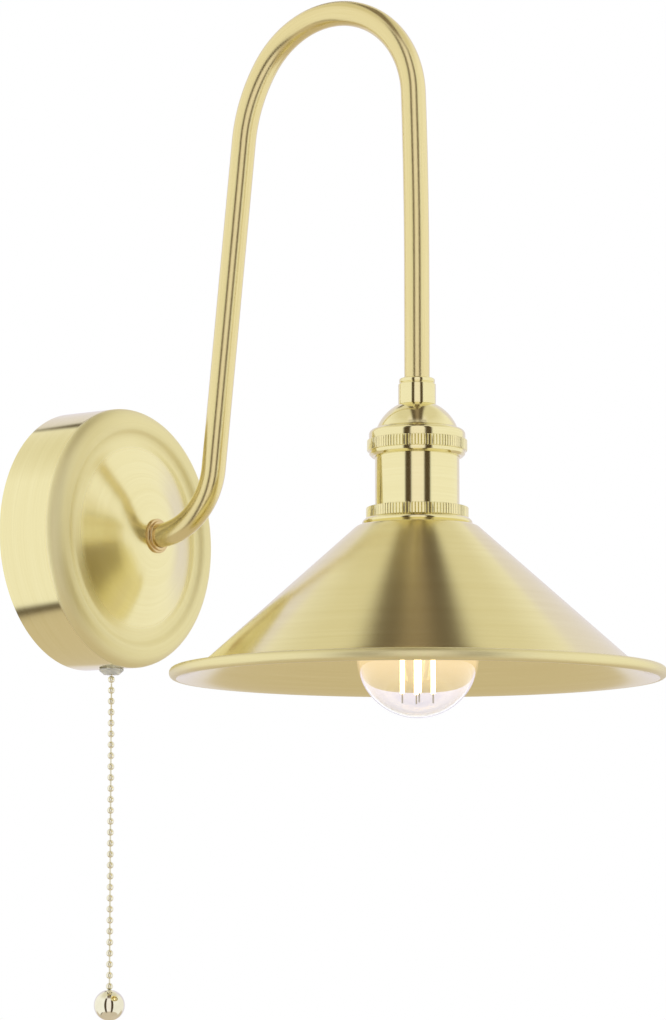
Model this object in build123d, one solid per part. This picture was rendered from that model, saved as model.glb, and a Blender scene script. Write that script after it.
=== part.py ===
from build123d import *
import math
import os

# Wall light with a swan-neck arm, a cone shade and a pull chain.
# Millimetres. The wall is the plane Y = 0 and the light stands out towards -Y. Z is up.
# The origin is on the wall, at the centre of the round cover.
# "Depth" is a distance out from the wall, so a depth of 10 lies at Y = -10.

# ---- driving dimensions ----

RUNNING = 0.05  # radial gap of a turning fit
SNUG = 0.1  # gap between fixed pieces that slide together

# cover on the wall
COVER_DIAMETER = 102.0
COVER_DEPTH = 28.5
COVER_WALL = 1.0
COVER_EDGE_RADIUS = 5.6
RIM_WIDTH = 7.8  # from the side to where the rim turns down into the trough
CREST_RADIUS = 4.0
TROUGH_WIDTH = 3.4  # from there to the bottom of the trough
TROUGH_DEPTH = 2.6  # how far the trough lies behind the rim
TROUGH_RADIUS = 4.2
DOME_RISE = 8.5  # how far the middle stands ahead of the rim
DOME_DIAMETER = 36.0  # where the dome starts to level off
DOME_SHARE = 0.74  # share of the rise that is reached there
DOME_RADIUS = 80.0
SEAT_DIAMETER = 15.0  # flat seat of the collar
SCREW_DEPTH = 7.0  # side screw and its tab, from the wall

# bracket behind the cover
BRACKET_THICKNESS = 1.6
BRACKET_WIDTH = 20.0
BRACKET_SPAN = 84.0  # height of its upright arm
SLOT_SPACING = 60.0
SLOT_WIDTH = 4.4
SLOT_LENGTH = 12.0
TAB_GAP = 1.2  # from a tab to the inside of the cover
TAB_LENGTH = 12.0
HOOK_TAB_LENGTH = 8.0
HOOK_DEPTH = 5.0
HOOK_HEIGHT = 3.0
HOOK_WIDTH = 7.0
CLIP_THICKNESS = 0.8
SCREW_DIAMETER = 4.0
SCREW_HEAD_DIAMETER = 7.0
SCREW_HEAD_HEIGHT = 2.2
EARTH_HEIGHT = 24.0

# arm
ARM_DIAMETER = 9.4
ARM_WALL = 1.0
ARM_OUT = 37.1  # depth where the first bend starts
ELBOW_RADIUS = 27.6
LEG_LEAN = 6.3  # degrees from upright
LEG_LENGTH = 127.6
SHOULDER_RADIUS = 60.6
SHOULDER_TURN = 28.3
ARCH_RADIUS = 37.35
ARCH_TURN = 143.25
DROP_RADIUS = 1860.0  # the last stretch straightens slowly
DROP_LENGTH = 55.8
ARM_TAIL = 8.0  # threaded end inside the cover
COLLAR_DIAMETER = 13.5
COLLAR_THICKNESS = 2.0
COLLAR_STEP_DIAMETER = 11.6
WASHER_EDGE = 0.4  # how far the washer stays inside the collar's seat
WASHER_THICKNESS = 1.0
NUT_ACROSS_FLATS = 13.0
NUT_THICKNESS = 4.0
HOLDER_NUT_ACROSS_FLATS = 12.0
ARM_END_SHOW = 0.5  # thread left standing past the nut
FLEX_DIAMETER = 4.6
CORE_DIAMETER = 1.9

# lampholder, from the top down
COUPLER_DIAMETER = 14.0
COUPLER_TOP_DIAMETER = 13.3
COUPLER_LIP = 2.2
COUPLER_HEIGHT = 9.8
CAP_TOP_WALL = 2.6
CAP_WALL = 1.2
CAP_DOME_HEIGHT = 8.3
CAP_DOME_DIAMETER = 29.6
CAP_DOME_LEAN = 0.42  # how far the dome's lower end still runs outwards, per unit down
CAP_LEDGE_DROP = 0.7  # from the dome's lower end down to the ledge
CAP_LEDGE_RADIUS = 0.7
CAP_SHOULDER_DROP = 1.5  # from there down to the corner of the foot
CAP_SHOULDER_RADIUS = 2.0
CAP_FOOT_DIAMETER = 35.8
CAP_FOOT_HEIGHT = 5.0
CAP_RING_DIAMETER = 37.2
CAP_RING_HEIGHT = 4.2
CAP_LIP_DIAMETER = 35.6
CAP_LIP_HEIGHT = 2.1
SLEEVE_DIAMETER = 31.3
SLEEVE_HEIGHT = 18.95
SLEEVE_WALL = 1.2
SLEEVE_INSERT = 1.2  # how far the sleeve reaches into the cap
TAIL_DIAMETER = 28.0  # threaded tail through the shade
TAIL_LENGTH = 17.0
FLUTE_COUNT = 100
FLUTE_DEPTH = 0.45
LOCK_RING_DIAMETER = 38.0
LOCK_RING_HEIGHT = 4.15
FLANGE_DIAMETER = 41.0
FLANGE_HEIGHT = 2.5
SHADE_RING_DIAMETER = 37.0
SHADE_RING_HEIGHT = 4.0
CORE_HEIGHT = 18.0  # above its seat on the sleeve's ledge
CORE_TAIL_DIAMETER = 25.0
CORE_TAIL_LENGTH = 16.0
SHELL_BORE = 14.6
SHELL_WALL = 0.7
SHELL_LENGTH = 16.5
CONTACT_DIAMETER = 6.0
CONTACT_THICKNESS = 0.9
CORE_SCREW_OFFSET = 8.0
CORE_SCREW_LENGTH = 5.0
CORE_SCREW_HEAD = 1.6

# shade
SHADE_DIAMETER = 183.4
SHADE_WALL = 1.0
SHADE_TOP_DIAMETER = 41.3  # flat top before the cone starts
SHADE_SHOULDER_RADIUS = 4.0
SHADE_SLOPE = 41.9  # degrees below level
SHADE_FLARE_DIAMETER = 159.0  # where the edge starts to flare
SHADE_EDGE_SLOPE = 11.0
BEAD_DIAMETER = 4.4  # the edge is rolled up and outwards into a bead

# bulb
BULB_DIAMETER = 45.0
BULB_DROP = 56.3  # from the cap's contact down to the ball's centre
BULB_GLASS = 0.7
BULB_NECK_DIAMETER = 13.0
BULB_NECK_BLEND = 12.0
BULB_CAP_DIAMETER = 13.9
BULB_CAP_LENGTH = 22.0
BULB_THREAD_PITCH = 2.82
BULB_THREAD_DEPTH = 0.5
BULB_TIP_DIAMETER = 5.0
BULB_TIP_HEIGHT = 1.4
BULB_INSULATOR_HEIGHT = 2.6
STEM_DIAMETER = 4.4
STEM_LENGTH = 12.0
STEM_FLARE_LENGTH = 7.0
FILAMENT_DIAMETER = 1.7
FILAMENT_LENGTH = 26.0
FILAMENT_CIRCLE = 11.4
FILAMENT_TURN = -52.0  # degrees about the lamp's axis
FILAMENT_DROP = 69.9  # from the cap's contact down to their lower ends
FILAMENT_COUNT = 4
WIRE_DIAMETER = 0.6
PIN_LENGTH = 3.4

# pull chain
CHAIN_DEPTH = 15.0
GLAND_DIAMETER = 9.6
GLAND_TIP_DIAMETER = 6.0
GLAND_HEIGHT = 2.4
GLAND_EDGE = 0.8
GLAND_BORE = 3.4
BEAD_SIZE = 2.8
BEAD_PITCH = 4.28
BEAD_COUNT = 29
BEAD_GAP = 0.45  # from the gland to the first bead
LINK_DIAMETER = 0.7
LINK_GAP = 0.1
BALL_DIAMETER = 12.1
BALL_HOLE_DEPTH = 4.0
BALL_BEAD_SHOW = 1.26  # from the ball's top up to the last bead's centre
BALL_NIB_DIAMETER = 2.4
BALL_NIB_HEIGHT = 0.5

# pull switch
SWITCH_WIDTH_LEFT = 14.0
SWITCH_WIDTH_RIGHT = 5.0
SWITCH_DEPTH = 14.0
SWITCH_HEIGHT = 31.0
SWITCH_WALL = 1.2
SWITCH_FLOOR = 1.5
SWITCH_GAP = 3.0  # from the cover to the switch's floor
BOSS_DIAMETER = 12.0
SPIGOT_DIAMETER = 8.0
ROD_DIAMETER = 1.6
ROD_TOP_GAP = 2.5
ROD_COLLAR_DIAMETER = 5.2
ROD_COLLAR_HEIGHT = 1.0
ROD_TRAVEL = 8.0
SPRING_DIAMETER = 4.6
SPRING_WIRE = 0.6
SPRING_LENGTH = 15.0
SPRING_TURNS = 6
WHEEL_DIAMETER = 10.0
WHEEL_THICKNESS = 2.8
WHEEL_HEIGHT_IN_SWITCH = 23.0
WHEEL_TEETH = 12
TOOTH_HEIGHT = 0.8
DISC_DIAMETER = 8.8
DISC_THICKNESS = 2.6
PIN_DIAMETER = 2.0
BLADE_THICKNESS = 0.4
BLADE_WIDTH = 2.6
BLADE_LENGTH = 11.0
POST_HEIGHT = 5.0
POST_WIDTH = 3.6

# terminal block
BLOCK_WIDTH = 26.0
BLOCK_HEIGHT = 13.0
BLOCK_DEPTH = 12.0
POLE_COUNT = 3
POLE_SPACING = 8.0
POLE_BORE = 4.4
POLE_WALL = 0.8
CLAMP_SCREW_DIAMETER = 2.6
CLAMP_SCREW_SPACING = 7.0

# ---- places worked out from the sizes ----

COVER_RADIUS = COVER_DIAMETER / 2
COVER_INSIDE = COVER_RADIUS - COVER_WALL
CREST_RADIUS_AT = COVER_RADIUS - RIM_WIDTH
TROUGH_RADIUS_AT = CREST_RADIUS_AT - TROUGH_WIDTH
FACE_DEPTH = COVER_DEPTH + DOME_RISE
FACE_BACK = FACE_DEPTH - COVER_WALL
ARM_HOLE_RADIUS = ARM_DIAMETER / 2 + 2 * SNUG
ARM_RADIUS = ARM_DIAMETER / 2


def arm_line(start_depth, end_drop):
    """The arm's centre line in its own plane: x runs out from the wall and y runs up."""
    steps = [
        ("line", ARM_OUT - start_depth),
        ("arc", ELBOW_RADIUS, 90 - LEG_LEAN),
        ("line", LEG_LENGTH),
        ("arc", SHOULDER_RADIUS, -SHOULDER_TURN),
        ("arc", ARCH_RADIUS, -ARCH_TURN),
        ("arc", DROP_RADIUS, -(180 - LEG_LEAN - SHOULDER_TURN - ARCH_TURN)),
        ("line", end_drop),
    ]
    point = Vector(start_depth, 0)
    heading = 0.0
    edges = []
    for step in steps:
        direction = Vector(math.cos(math.radians(heading)), math.sin(math.radians(heading)))
        if step[0] == "line":
            edges.append(Line(point, point + direction * step[1]))
        else:
            edges.append(JernArc(point, direction, step[1], step[2]))
            heading += step[2]
        point = edges[-1] @ 1
    return edges, point


_, ARM_END = arm_line(0, DROP_LENGTH)
REACH = ARM_END.X  # depth of the lamp's axis
CAP_TOP = ARM_END.Y + ARM_END_SHOW + NUT_THICKNESS + CAP_TOP_WALL
COUPLER_TOP = CAP_TOP + COUPLER_HEIGHT
CAP_FOOT_TOP = CAP_TOP - CAP_DOME_HEIGHT
CAP_FOOT = CAP_FOOT_TOP - CAP_FOOT_HEIGHT
CAP_RING_BOTTOM = CAP_FOOT - CAP_RING_HEIGHT
CAP_LIP_BOTTOM = CAP_RING_BOTTOM - CAP_LIP_HEIGHT
SLEEVE_STEP = CAP_LIP_BOTTOM - SLEEVE_HEIGHT
LOCK_RING_BOTTOM = SLEEVE_STEP - LOCK_RING_HEIGHT
SHADE_TOP = LOCK_RING_BOTTOM - FLANGE_HEIGHT
CORE_SEAT = SLEEVE_STEP + SLEEVE_WALL
CORE_TOP = CORE_SEAT + CORE_HEIGHT
CORE_BOTTOM = CORE_SEAT - CORE_TAIL_LENGTH
CONTACT_TOP = CORE_BOTTOM + SHELL_LENGTH
BULB_TOP = CONTACT_TOP - CONTACT_THICKNESS
TAIL_BOTTOM = SLEEVE_STEP - TAIL_LENGTH
BULB_CENTRE = BULB_TOP - BULB_DROP
BULB_CAP_TOP = BULB_TOP - BULB_TIP_HEIGHT - BULB_INSULATOR_HEIGHT
BULB_CAP_BOTTOM = BULB_CAP_TOP - BULB_CAP_LENGTH

COVER_BOTTOM = -COVER_RADIUS
GLAND_TIP = COVER_BOTTOM - GLAND_HEIGHT
FIRST_BEAD = GLAND_TIP - BEAD_GAP - BEAD_SIZE / 2
SECOND_BEAD = FIRST_BEAD - BEAD_PITCH
LAST_BEAD = FIRST_BEAD - BEAD_PITCH * (BEAD_COUNT - 1)
BALL_TOP = LAST_BEAD - BALL_BEAD_SHOW
BALL_CENTRE = BALL_TOP - BALL_DIAMETER / 2
SWITCH_BOTTOM = -COVER_INSIDE + SWITCH_GAP
SWITCH_TOP = SWITCH_BOTTOM + SWITCH_HEIGHT
SWITCH_BACK = CHAIN_DEPTH - SWITCH_DEPTH / 2
SWITCH_FRONT = CHAIN_DEPTH + SWITCH_DEPTH / 2
SWITCH_INSIDE_BOTTOM = SWITCH_BOTTOM + SWITCH_FLOOR
ROD_TOP = SWITCH_TOP - SWITCH_WALL - ROD_TOP_GAP
COLLAR_BOTTOM = SWITCH_INSIDE_BOTTOM + SPRING_LENGTH
WHEEL_HEIGHT = SWITCH_BOTTOM + WHEEL_HEIGHT_IN_SWITCH
WHEEL_X = -(ROD_DIAMETER / 2 + SNUG + WHEEL_DIAMETER / 2)
BLOCK_BACK = BRACKET_THICKNESS
BLOCK_FRONT = BLOCK_BACK + BLOCK_DEPTH
TAB_OUTSIDE = COVER_INSIDE - TAB_GAP

# ---- helpers ----

# x along X and y up, seen from the front: sections of upright pieces, and outlines in the wall's plane
UPRIGHT = Plane(origin=(0, 0, 0), x_dir=(1, 0, 0), z_dir=(0, -1, 0))
# radius along x, depth along y, turned about the line out from the wall
OUTWARD = Plane(origin=(0, 0, 0), x_dir=(1, 0, 0), z_dir=(0, 0, -1))
# depth along x, height along y: the plane of the arm
SIDE = Plane(origin=(0, 0, 0), x_dir=(0, -1, 0), z_dir=(-1, 0, 0))


def closed(*points):
    """A flat face from corner points."""
    return make_face(Polyline(*points, close=True))


def turned_upright(face, depth=0.0, x=0.0):
    """A face of (radius, height) turned round the upright line at this depth and x."""
    return Pos(x, -depth, 0) * revolve(UPRIGHT * face, Axis.Z)


def turned_outward(face, x=0.0, z=0.0):
    """A face of (radius, depth) turned round a line out from the wall."""
    return Pos(x, 0, z) * revolve(OUTWARD * face, Axis.Y)


def ring_face(outer, inner, low, high):
    """Section of a plain ring between two radii and two levels."""
    return closed((inner, low), (outer, low), (outer, high), (inner, high))


def upright_ring(outer, inner, low, high, depth=0.0, x=0.0):
    return turned_upright(ring_face(outer, inner, low, high), depth, x)


def outward_ring(outer, inner, low, high, x=0.0, z=0.0):
    return turned_outward(ring_face(outer, inner, low, high), x, z)


def block(x_low, x_high, depth_low, depth_high, z_low, z_high):
    """A plain box between two values of x, of depth and of height."""
    size = (x_high - x_low, depth_high - depth_low, z_high - z_low)
    middle = ((x_low + x_high) / 2, -(depth_low + depth_high) / 2, (z_low + z_high) / 2)
    return Pos(*middle) * Box(*size)


def fluted_ring(outer, bore, low, high, depth):
    """A ring whose rim has upright flutes: flat crests with V grooves between them."""
    crest_share = 0.3
    points = []
    for tooth in range(FLUTE_COUNT):
        for share, radius in (
            (-crest_share, outer),
            (crest_share, outer),
            (0.5, outer - FLUTE_DEPTH),
        ):
            angle = 2 * math.pi * (tooth + share) / FLUTE_COUNT
            points.append((radius * math.cos(angle), radius * math.sin(angle)))
    section = closed(*points) - Circle(bore)
    return Pos(0, -depth, low) * extrude(section, high - low)


def hexagon_nut(across_flats, bore, low, high):
    """A hexagon nut along Z at the origin."""
    section = RegularPolygon(across_flats / 2, 6, major_radius=False) - Circle(bore)
    return Pos(0, 0, low) * extrude(section, high - low)


def round_wire(points, radii, diameter):
    """A round wire along straight runs joined by arcs."""
    path = FilletPolyline(*points, radius=radii)
    start = Plane(origin=path @ 0, z_dir=path % 0)
    return sweep(start * Circle(diameter / 2), path)


def straight_rod(start, end, diameter):
    """A straight round rod from one point to another."""
    line = Line(start, end)
    return sweep(Plane(origin=line @ 0, z_dir=line % 0) * Circle(diameter / 2), line)


# ---- cover and bracket ----


def cover_outline(inset):
    """Outer or inner line of the spun cup, from its rear edge to the middle of its face."""
    rim = COVER_DEPTH - inset
    trough = COVER_DEPTH - TROUGH_DEPTH - inset
    face = FACE_DEPTH - inset
    shoulder = trough + (face - trough) * DOME_SHARE
    points = [
        (COVER_RADIUS - inset, 0),
        (COVER_RADIUS - inset, rim),
        (CREST_RADIUS_AT, rim),
        (TROUGH_RADIUS_AT, trough),
        (DOME_DIAMETER / 2, shoulder),
        (SEAT_DIAMETER / 2, face),
        (0, face),
    ]
    radii = [COVER_EDGE_RADIUS - inset, CREST_RADIUS, TROUGH_RADIUS, DOME_RADIUS, 0]
    return FilletPolyline(*points, radius=radii)


def filled_cover(inset):
    line = cover_outline(inset)
    back = Polyline(line @ 1, (0, 0), line @ 0)
    return turned_outward(make_face(line.edges() + back.edges()))


def make_cover():
    cup = filled_cover(0) - filled_cover(COVER_WALL)
    cup -= outward_ring(ARM_HOLE_RADIUS, 0, FACE_BACK - 1, FACE_DEPTH + 1)
    gland_hole = upright_ring(
        SPIGOT_DIAMETER / 2 + SNUG, 0, COVER_BOTTOM - 1, COVER_BOTTOM + 3, CHAIN_DEPTH
    )
    screw_hole = upright_ring(
        SCREW_DIAMETER / 2 + SNUG, 0, COVER_RADIUS - 3, COVER_RADIUS + 1, SCREW_DEPTH
    )
    return cup - gland_hole - to_the_right(screw_hole)


def to_the_right(shape):
    """Turns what is drawn at the cover's top to its right side, and what is below to its left."""
    return Rot(0, 90, 0) * shape


def make_bracket():
    """Cross-shaped plate: a tab at the right end takes the screw, one at the left end the clip."""
    half = BRACKET_WIDTH / 2
    across = block(-half, half, 0, BRACKET_THICKNESS, -TAB_OUTSIDE, TAB_OUTSIDE)
    across += block(
        -half, half, 0, TAB_LENGTH, TAB_OUTSIDE - BRACKET_THICKNESS, TAB_OUTSIDE
    )
    across += block(
        -half, half, 0, HOOK_TAB_LENGTH, -TAB_OUTSIDE, -TAB_OUTSIDE + BRACKET_THICKNESS
    )
    across -= upright_ring(
        SCREW_DIAMETER / 2 + RUNNING, 0, TAB_OUTSIDE - 3, TAB_OUTSIDE + 1, SCREW_DEPTH
    )
    across -= block(
        -HOOK_WIDTH / 2 - 2 * SNUG,
        HOOK_WIDTH / 2 + 2 * SNUG,
        HOOK_DEPTH - 3 * SNUG,
        HOOK_DEPTH + CLIP_THICKNESS + 3 * SNUG,
        -TAB_OUTSIDE - 1,
        -TAB_OUTSIDE + BRACKET_THICKNESS + 1,
    )
    plate = to_the_right(across)
    plate += block(-half, half, 0, BRACKET_THICKNESS, -BRACKET_SPAN / 2, BRACKET_SPAN / 2)
    for side in (-1, 1):
        slot = SlotOverall(SLOT_LENGTH, SLOT_WIDTH)
        cutter = UPRIGHT * extrude(slot, BRACKET_THICKNESS * 4, both=True)
        plate -= Pos(side * SLOT_SPACING / 2, 0, 0) * cutter
    return plate - outward_ring(SCREW_DIAMETER / 2 + RUNNING, 0, -1, 3, z=EARTH_HEIGHT)


def make_cover_clip():
    """Angle piece fixed inside the cover: its tongue goes through the bracket's left tab."""
    half = HOOK_WIDTH / 2
    floor = -COVER_INSIDE - 1
    leg = block(-half, half, HOOK_DEPTH - 3, HOOK_DEPTH + 3, floor, -COVER_INSIDE + CLIP_THICKNESS)
    tongue = block(
        -half, half, HOOK_DEPTH, HOOK_DEPTH + CLIP_THICKNESS, floor, -TAB_OUTSIDE + HOOK_HEIGHT
    )
    inside_of_cover = outward_ring(COVER_INSIDE - 0.02, 0, 0, COVER_DEPTH)
    return to_the_right((leg + tongue) & inside_of_cover)


def make_pan_screw(shank_length):
    """A pan-head screw along Z: its head stands on Z = 0 and its shank hangs below."""
    edge = SCREW_HEAD_HEIGHT * 0.45
    head = closed(
        (0, 0),
        (SCREW_HEAD_DIAMETER / 2, 0),
        (SCREW_HEAD_DIAMETER / 2, SCREW_HEAD_HEIGHT - edge),
        (SCREW_HEAD_DIAMETER / 2 - edge, SCREW_HEAD_HEIGHT),
        (0, SCREW_HEAD_HEIGHT),
    )
    shank = ring_face(SCREW_DIAMETER / 2, 0, -shank_length, 0)
    screw = turned_upright(head) + turned_upright(shank)
    slot = Pos(0, 0, SCREW_HEAD_HEIGHT) * Box(SCREW_HEAD_DIAMETER + 1, 1.0, 1.6)
    return screw - slot


def make_cover_screw():
    shank = COVER_RADIUS - TAB_OUTSIDE + BRACKET_THICKNESS + 2
    return to_the_right(Pos(0, -SCREW_DEPTH, COVER_RADIUS) * make_pan_screw(shank))


def make_earth_screw():
    screw = make_pan_screw(BRACKET_THICKNESS - 0.2)
    return Pos(0, -BRACKET_THICKNESS, EARTH_HEIGHT) * Rot(90, 0, 0) * screw


# ---- arm ----


def tube_along_arm(start_depth, end_drop, diameter):
    edges, _ = arm_line(start_depth, end_drop)
    path = SIDE * Wire(edges)
    section = Plane(origin=(0, -start_depth, 0), z_dir=(0, -1, 0)) * Circle(diameter / 2)
    return sweep(section, path)


def make_arm():
    start = FACE_BACK - ARM_TAIL
    outside = tube_along_arm(start, DROP_LENGTH, ARM_DIAMETER)
    return outside - tube_along_arm(start, DROP_LENGTH, ARM_DIAMETER - 2 * ARM_WALL)


def make_collar():
    bore = ARM_RADIUS + RUNNING
    middle = FACE_DEPTH + COLLAR_THICKNESS * 0.55
    front = FACE_DEPTH + COLLAR_THICKNESS
    collar = outward_ring(COLLAR_DIAMETER / 2, bore, FACE_DEPTH, middle)
    return collar + outward_ring(COLLAR_STEP_DIAMETER / 2, bore, middle, front)


def make_arm_washer():
    bore = ARM_RADIUS + RUNNING
    return outward_ring((SEAT_DIAMETER - WASHER_EDGE) / 2, bore, FACE_BACK - WASHER_THICKNESS, FACE_BACK)


def make_arm_nut():
    top = FACE_BACK - WASHER_THICKNESS
    nut = hexagon_nut(NUT_ACROSS_FLATS, ARM_RADIUS + RUNNING, top - NUT_THICKNESS, top)
    return Rot(90, 0, 0) * nut


# ---- lampholder ----


def make_coupler():
    half = COUPLER_DIAMETER / 2
    top_half = COUPLER_TOP_DIAMETER / 2
    bore = ARM_RADIUS + RUNNING
    section = closed(
        (bore, CAP_TOP),
        (half, CAP_TOP),
        (half, COUPLER_TOP - COUPLER_LIP),
        (top_half, COUPLER_TOP - COUPLER_LIP * 0.8),
        (top_half, COUPLER_TOP - COUPLER_LIP * 0.3),
        (top_half - COUPLER_LIP * 0.5, COUPLER_TOP),
        (bore, COUPLER_TOP),
    )
    return turned_upright(section, REACH) - grub_cylinder(RUNNING)


def grub_cylinder(gap):
    """The screw that holds the sleeve on the arm, on the side of the wall."""
    height = CAP_TOP + COUPLER_HEIGHT * 0.45
    inner = -REACH + ARM_RADIUS + SNUG
    outer = -REACH + COUPLER_DIAMETER / 2 - SNUG + gap * 10
    length = outer - inner
    return Pos(0, (inner + outer) / 2, height) * Rot(90, 0, 0) * Cylinder(1.5 + gap, length)


def cap_outline(inset):
    """The dome of the cap, and its ledge and upright foot below."""
    neck = CAP_DOME_DIAMETER / 2 - inset
    foot = CAP_FOOT_DIAMETER / 2 - inset
    ledge = CAP_FOOT_TOP - CAP_LEDGE_DROP - inset
    dome_start = Vector(COUPLER_DIAMETER / 2 - inset, CAP_TOP - inset)
    dome_end = Vector(neck, CAP_FOOT_TOP)
    dome = TangentArc(dome_end, dome_start, tangent=(-CAP_DOME_LEAN, 1))
    skirt = FilletPolyline(
        dome_end,
        (neck + CAP_DOME_LEAN * (CAP_FOOT_TOP - ledge), ledge),
        (foot, CAP_FOOT_TOP - CAP_SHOULDER_DROP - inset),
        (foot, CAP_FOOT),
        radius=[CAP_LEDGE_RADIUS, CAP_SHOULDER_RADIUS - inset],
    )
    return dome, skirt


def filled_cap(inset):
    """The cap as a solid, or its hollow, which stops short of the thick top."""
    dome, skirt = cap_outline(inset)
    top = (dome @ 1).Y
    rest = Polyline(skirt @ 1, (0, CAP_FOOT), (0, top), dome @ 1)
    edges = dome.edges() + skirt.edges() + rest.edges()
    return turned_upright(make_face(edges), REACH)


def make_holder_cap():
    ceiling = CAP_TOP - CAP_TOP_WALL
    hollow = filled_cap(CAP_WALL) & upright_ring(CAP_FOOT_DIAMETER, 0, CAP_FOOT, ceiling, REACH)
    cap = filled_cap(0) - hollow
    return cap - upright_ring(ARM_RADIUS + SNUG, 0, CAP_FOOT, CAP_TOP + 1, REACH)


def make_holder_nut():
    top = CAP_TOP - CAP_TOP_WALL
    bore = ARM_RADIUS + RUNNING
    nut = hexagon_nut(HOLDER_NUT_ACROSS_FLATS, bore, top - NUT_THICKNESS, top)
    return Pos(0, -REACH, 0) * nut


def make_cap_ring():
    bore = SLEEVE_DIAMETER / 2 + RUNNING
    ring = fluted_ring(CAP_RING_DIAMETER / 2, bore, CAP_RING_BOTTOM, CAP_FOOT, REACH)
    lip_half = CAP_LIP_DIAMETER / 2
    lip = closed(
        (bore, CAP_LIP_BOTTOM),
        (lip_half - 0.9, CAP_LIP_BOTTOM),
        (lip_half, CAP_RING_BOTTOM - CAP_LIP_HEIGHT * 0.5),
        (lip_half, CAP_RING_BOTTOM),
        (bore, CAP_RING_BOTTOM),
    )
    return ring + turned_upright(lip, REACH)


def make_sleeve():
    outer = SLEEVE_DIAMETER / 2
    inner = outer - SLEEVE_WALL
    tail = TAIL_DIAMETER / 2
    top = CAP_FOOT + SLEEVE_INSERT
    section = closed(
        (tail, TAIL_BOTTOM),
        (tail, SLEEVE_STEP),
        (outer, SLEEVE_STEP),
        (outer, top),
        (inner, top),
        (inner, CORE_SEAT),
        (tail - SLEEVE_WALL, CORE_SEAT),
        (tail - SLEEVE_WALL, TAIL_BOTTOM),
    )
    return turned_upright(section, REACH)


def make_lock_ring():
    bore = TAIL_DIAMETER / 2 + RUNNING
    return fluted_ring(LOCK_RING_DIAMETER / 2, bore, LOCK_RING_BOTTOM, SLEEVE_STEP, REACH)


def make_shade_flange():
    bore = TAIL_DIAMETER / 2 + SNUG
    half = FLANGE_DIAMETER / 2
    round_start = Vector(half - FLANGE_HEIGHT * 0.48, LOCK_RING_BOTTOM)
    round_end = Vector(half - FLANGE_HEIGHT * 0.2, SHADE_TOP)
    side = ThreePointArc(round_start, (half, SHADE_TOP + FLANGE_HEIGHT * 0.42), round_end)
    rest = Polyline(round_end, (bore, SHADE_TOP), (bore, LOCK_RING_BOTTOM), round_start)
    return turned_upright(make_face(side.edges() + rest.edges()), REACH)


def make_shade_ring():
    bore = TAIL_DIAMETER / 2 + RUNNING
    high = SHADE_TOP - SHADE_WALL
    return fluted_ring(SHADE_RING_DIAMETER / 2, bore, high - SHADE_RING_HEIGHT, high, REACH)


def make_core():
    body = SLEEVE_DIAMETER / 2 - SLEEVE_WALL - SNUG
    tail = CORE_TAIL_DIAMETER / 2
    bore = SHELL_BORE / 2 + SHELL_WALL + RUNNING
    section = closed(
        (bore, CORE_BOTTOM),
        (tail, CORE_BOTTOM),
        (tail, CORE_SEAT),
        (body, CORE_SEAT),
        (body, CORE_TOP),
        (CORE_DIAMETER / 2 + RUNNING, CORE_TOP),
        (CORE_DIAMETER / 2 + RUNNING, CONTACT_TOP),
        (bore, CONTACT_TOP),
    )
    core = turned_upright(section, REACH)
    for side in (-1, 1):
        core -= upright_ring(
            CLAMP_SCREW_DIAMETER / 2 + RUNNING,
            0,
            CORE_TOP - CORE_SCREW_LENGTH - 1,
            CORE_TOP + 1,
            REACH,
            side * CORE_SCREW_OFFSET,
        )
    return core


def make_screw_shell():
    inner = SHELL_BORE / 2
    return upright_ring(inner + SHELL_WALL, inner, CORE_BOTTOM, CONTACT_TOP, REACH)


def make_centre_contact():
    disc = upright_ring(CONTACT_DIAMETER / 2, 0, BULB_TOP, CONTACT_TOP, REACH)
    rivet_top = CORE_TOP - FLEX_DIAMETER * 0.5
    return disc + upright_ring(CORE_DIAMETER / 2, 0, CONTACT_TOP, rivet_top, REACH)


def make_core_screws():
    screws = []
    head_top = CORE_TOP + CORE_SCREW_HEAD
    for side in (-1, 1):
        x = side * CORE_SCREW_OFFSET
        tip = CORE_TOP - CORE_SCREW_LENGTH
        shank = upright_ring(CLAMP_SCREW_DIAMETER / 2, 0, tip, CORE_TOP, REACH, x)
        head = upright_ring(CLAMP_SCREW_DIAMETER * 0.85, 0, CORE_TOP, head_top, REACH, x)
        screws.append(shank + head)
    return screws


# ---- shade ----


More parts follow.
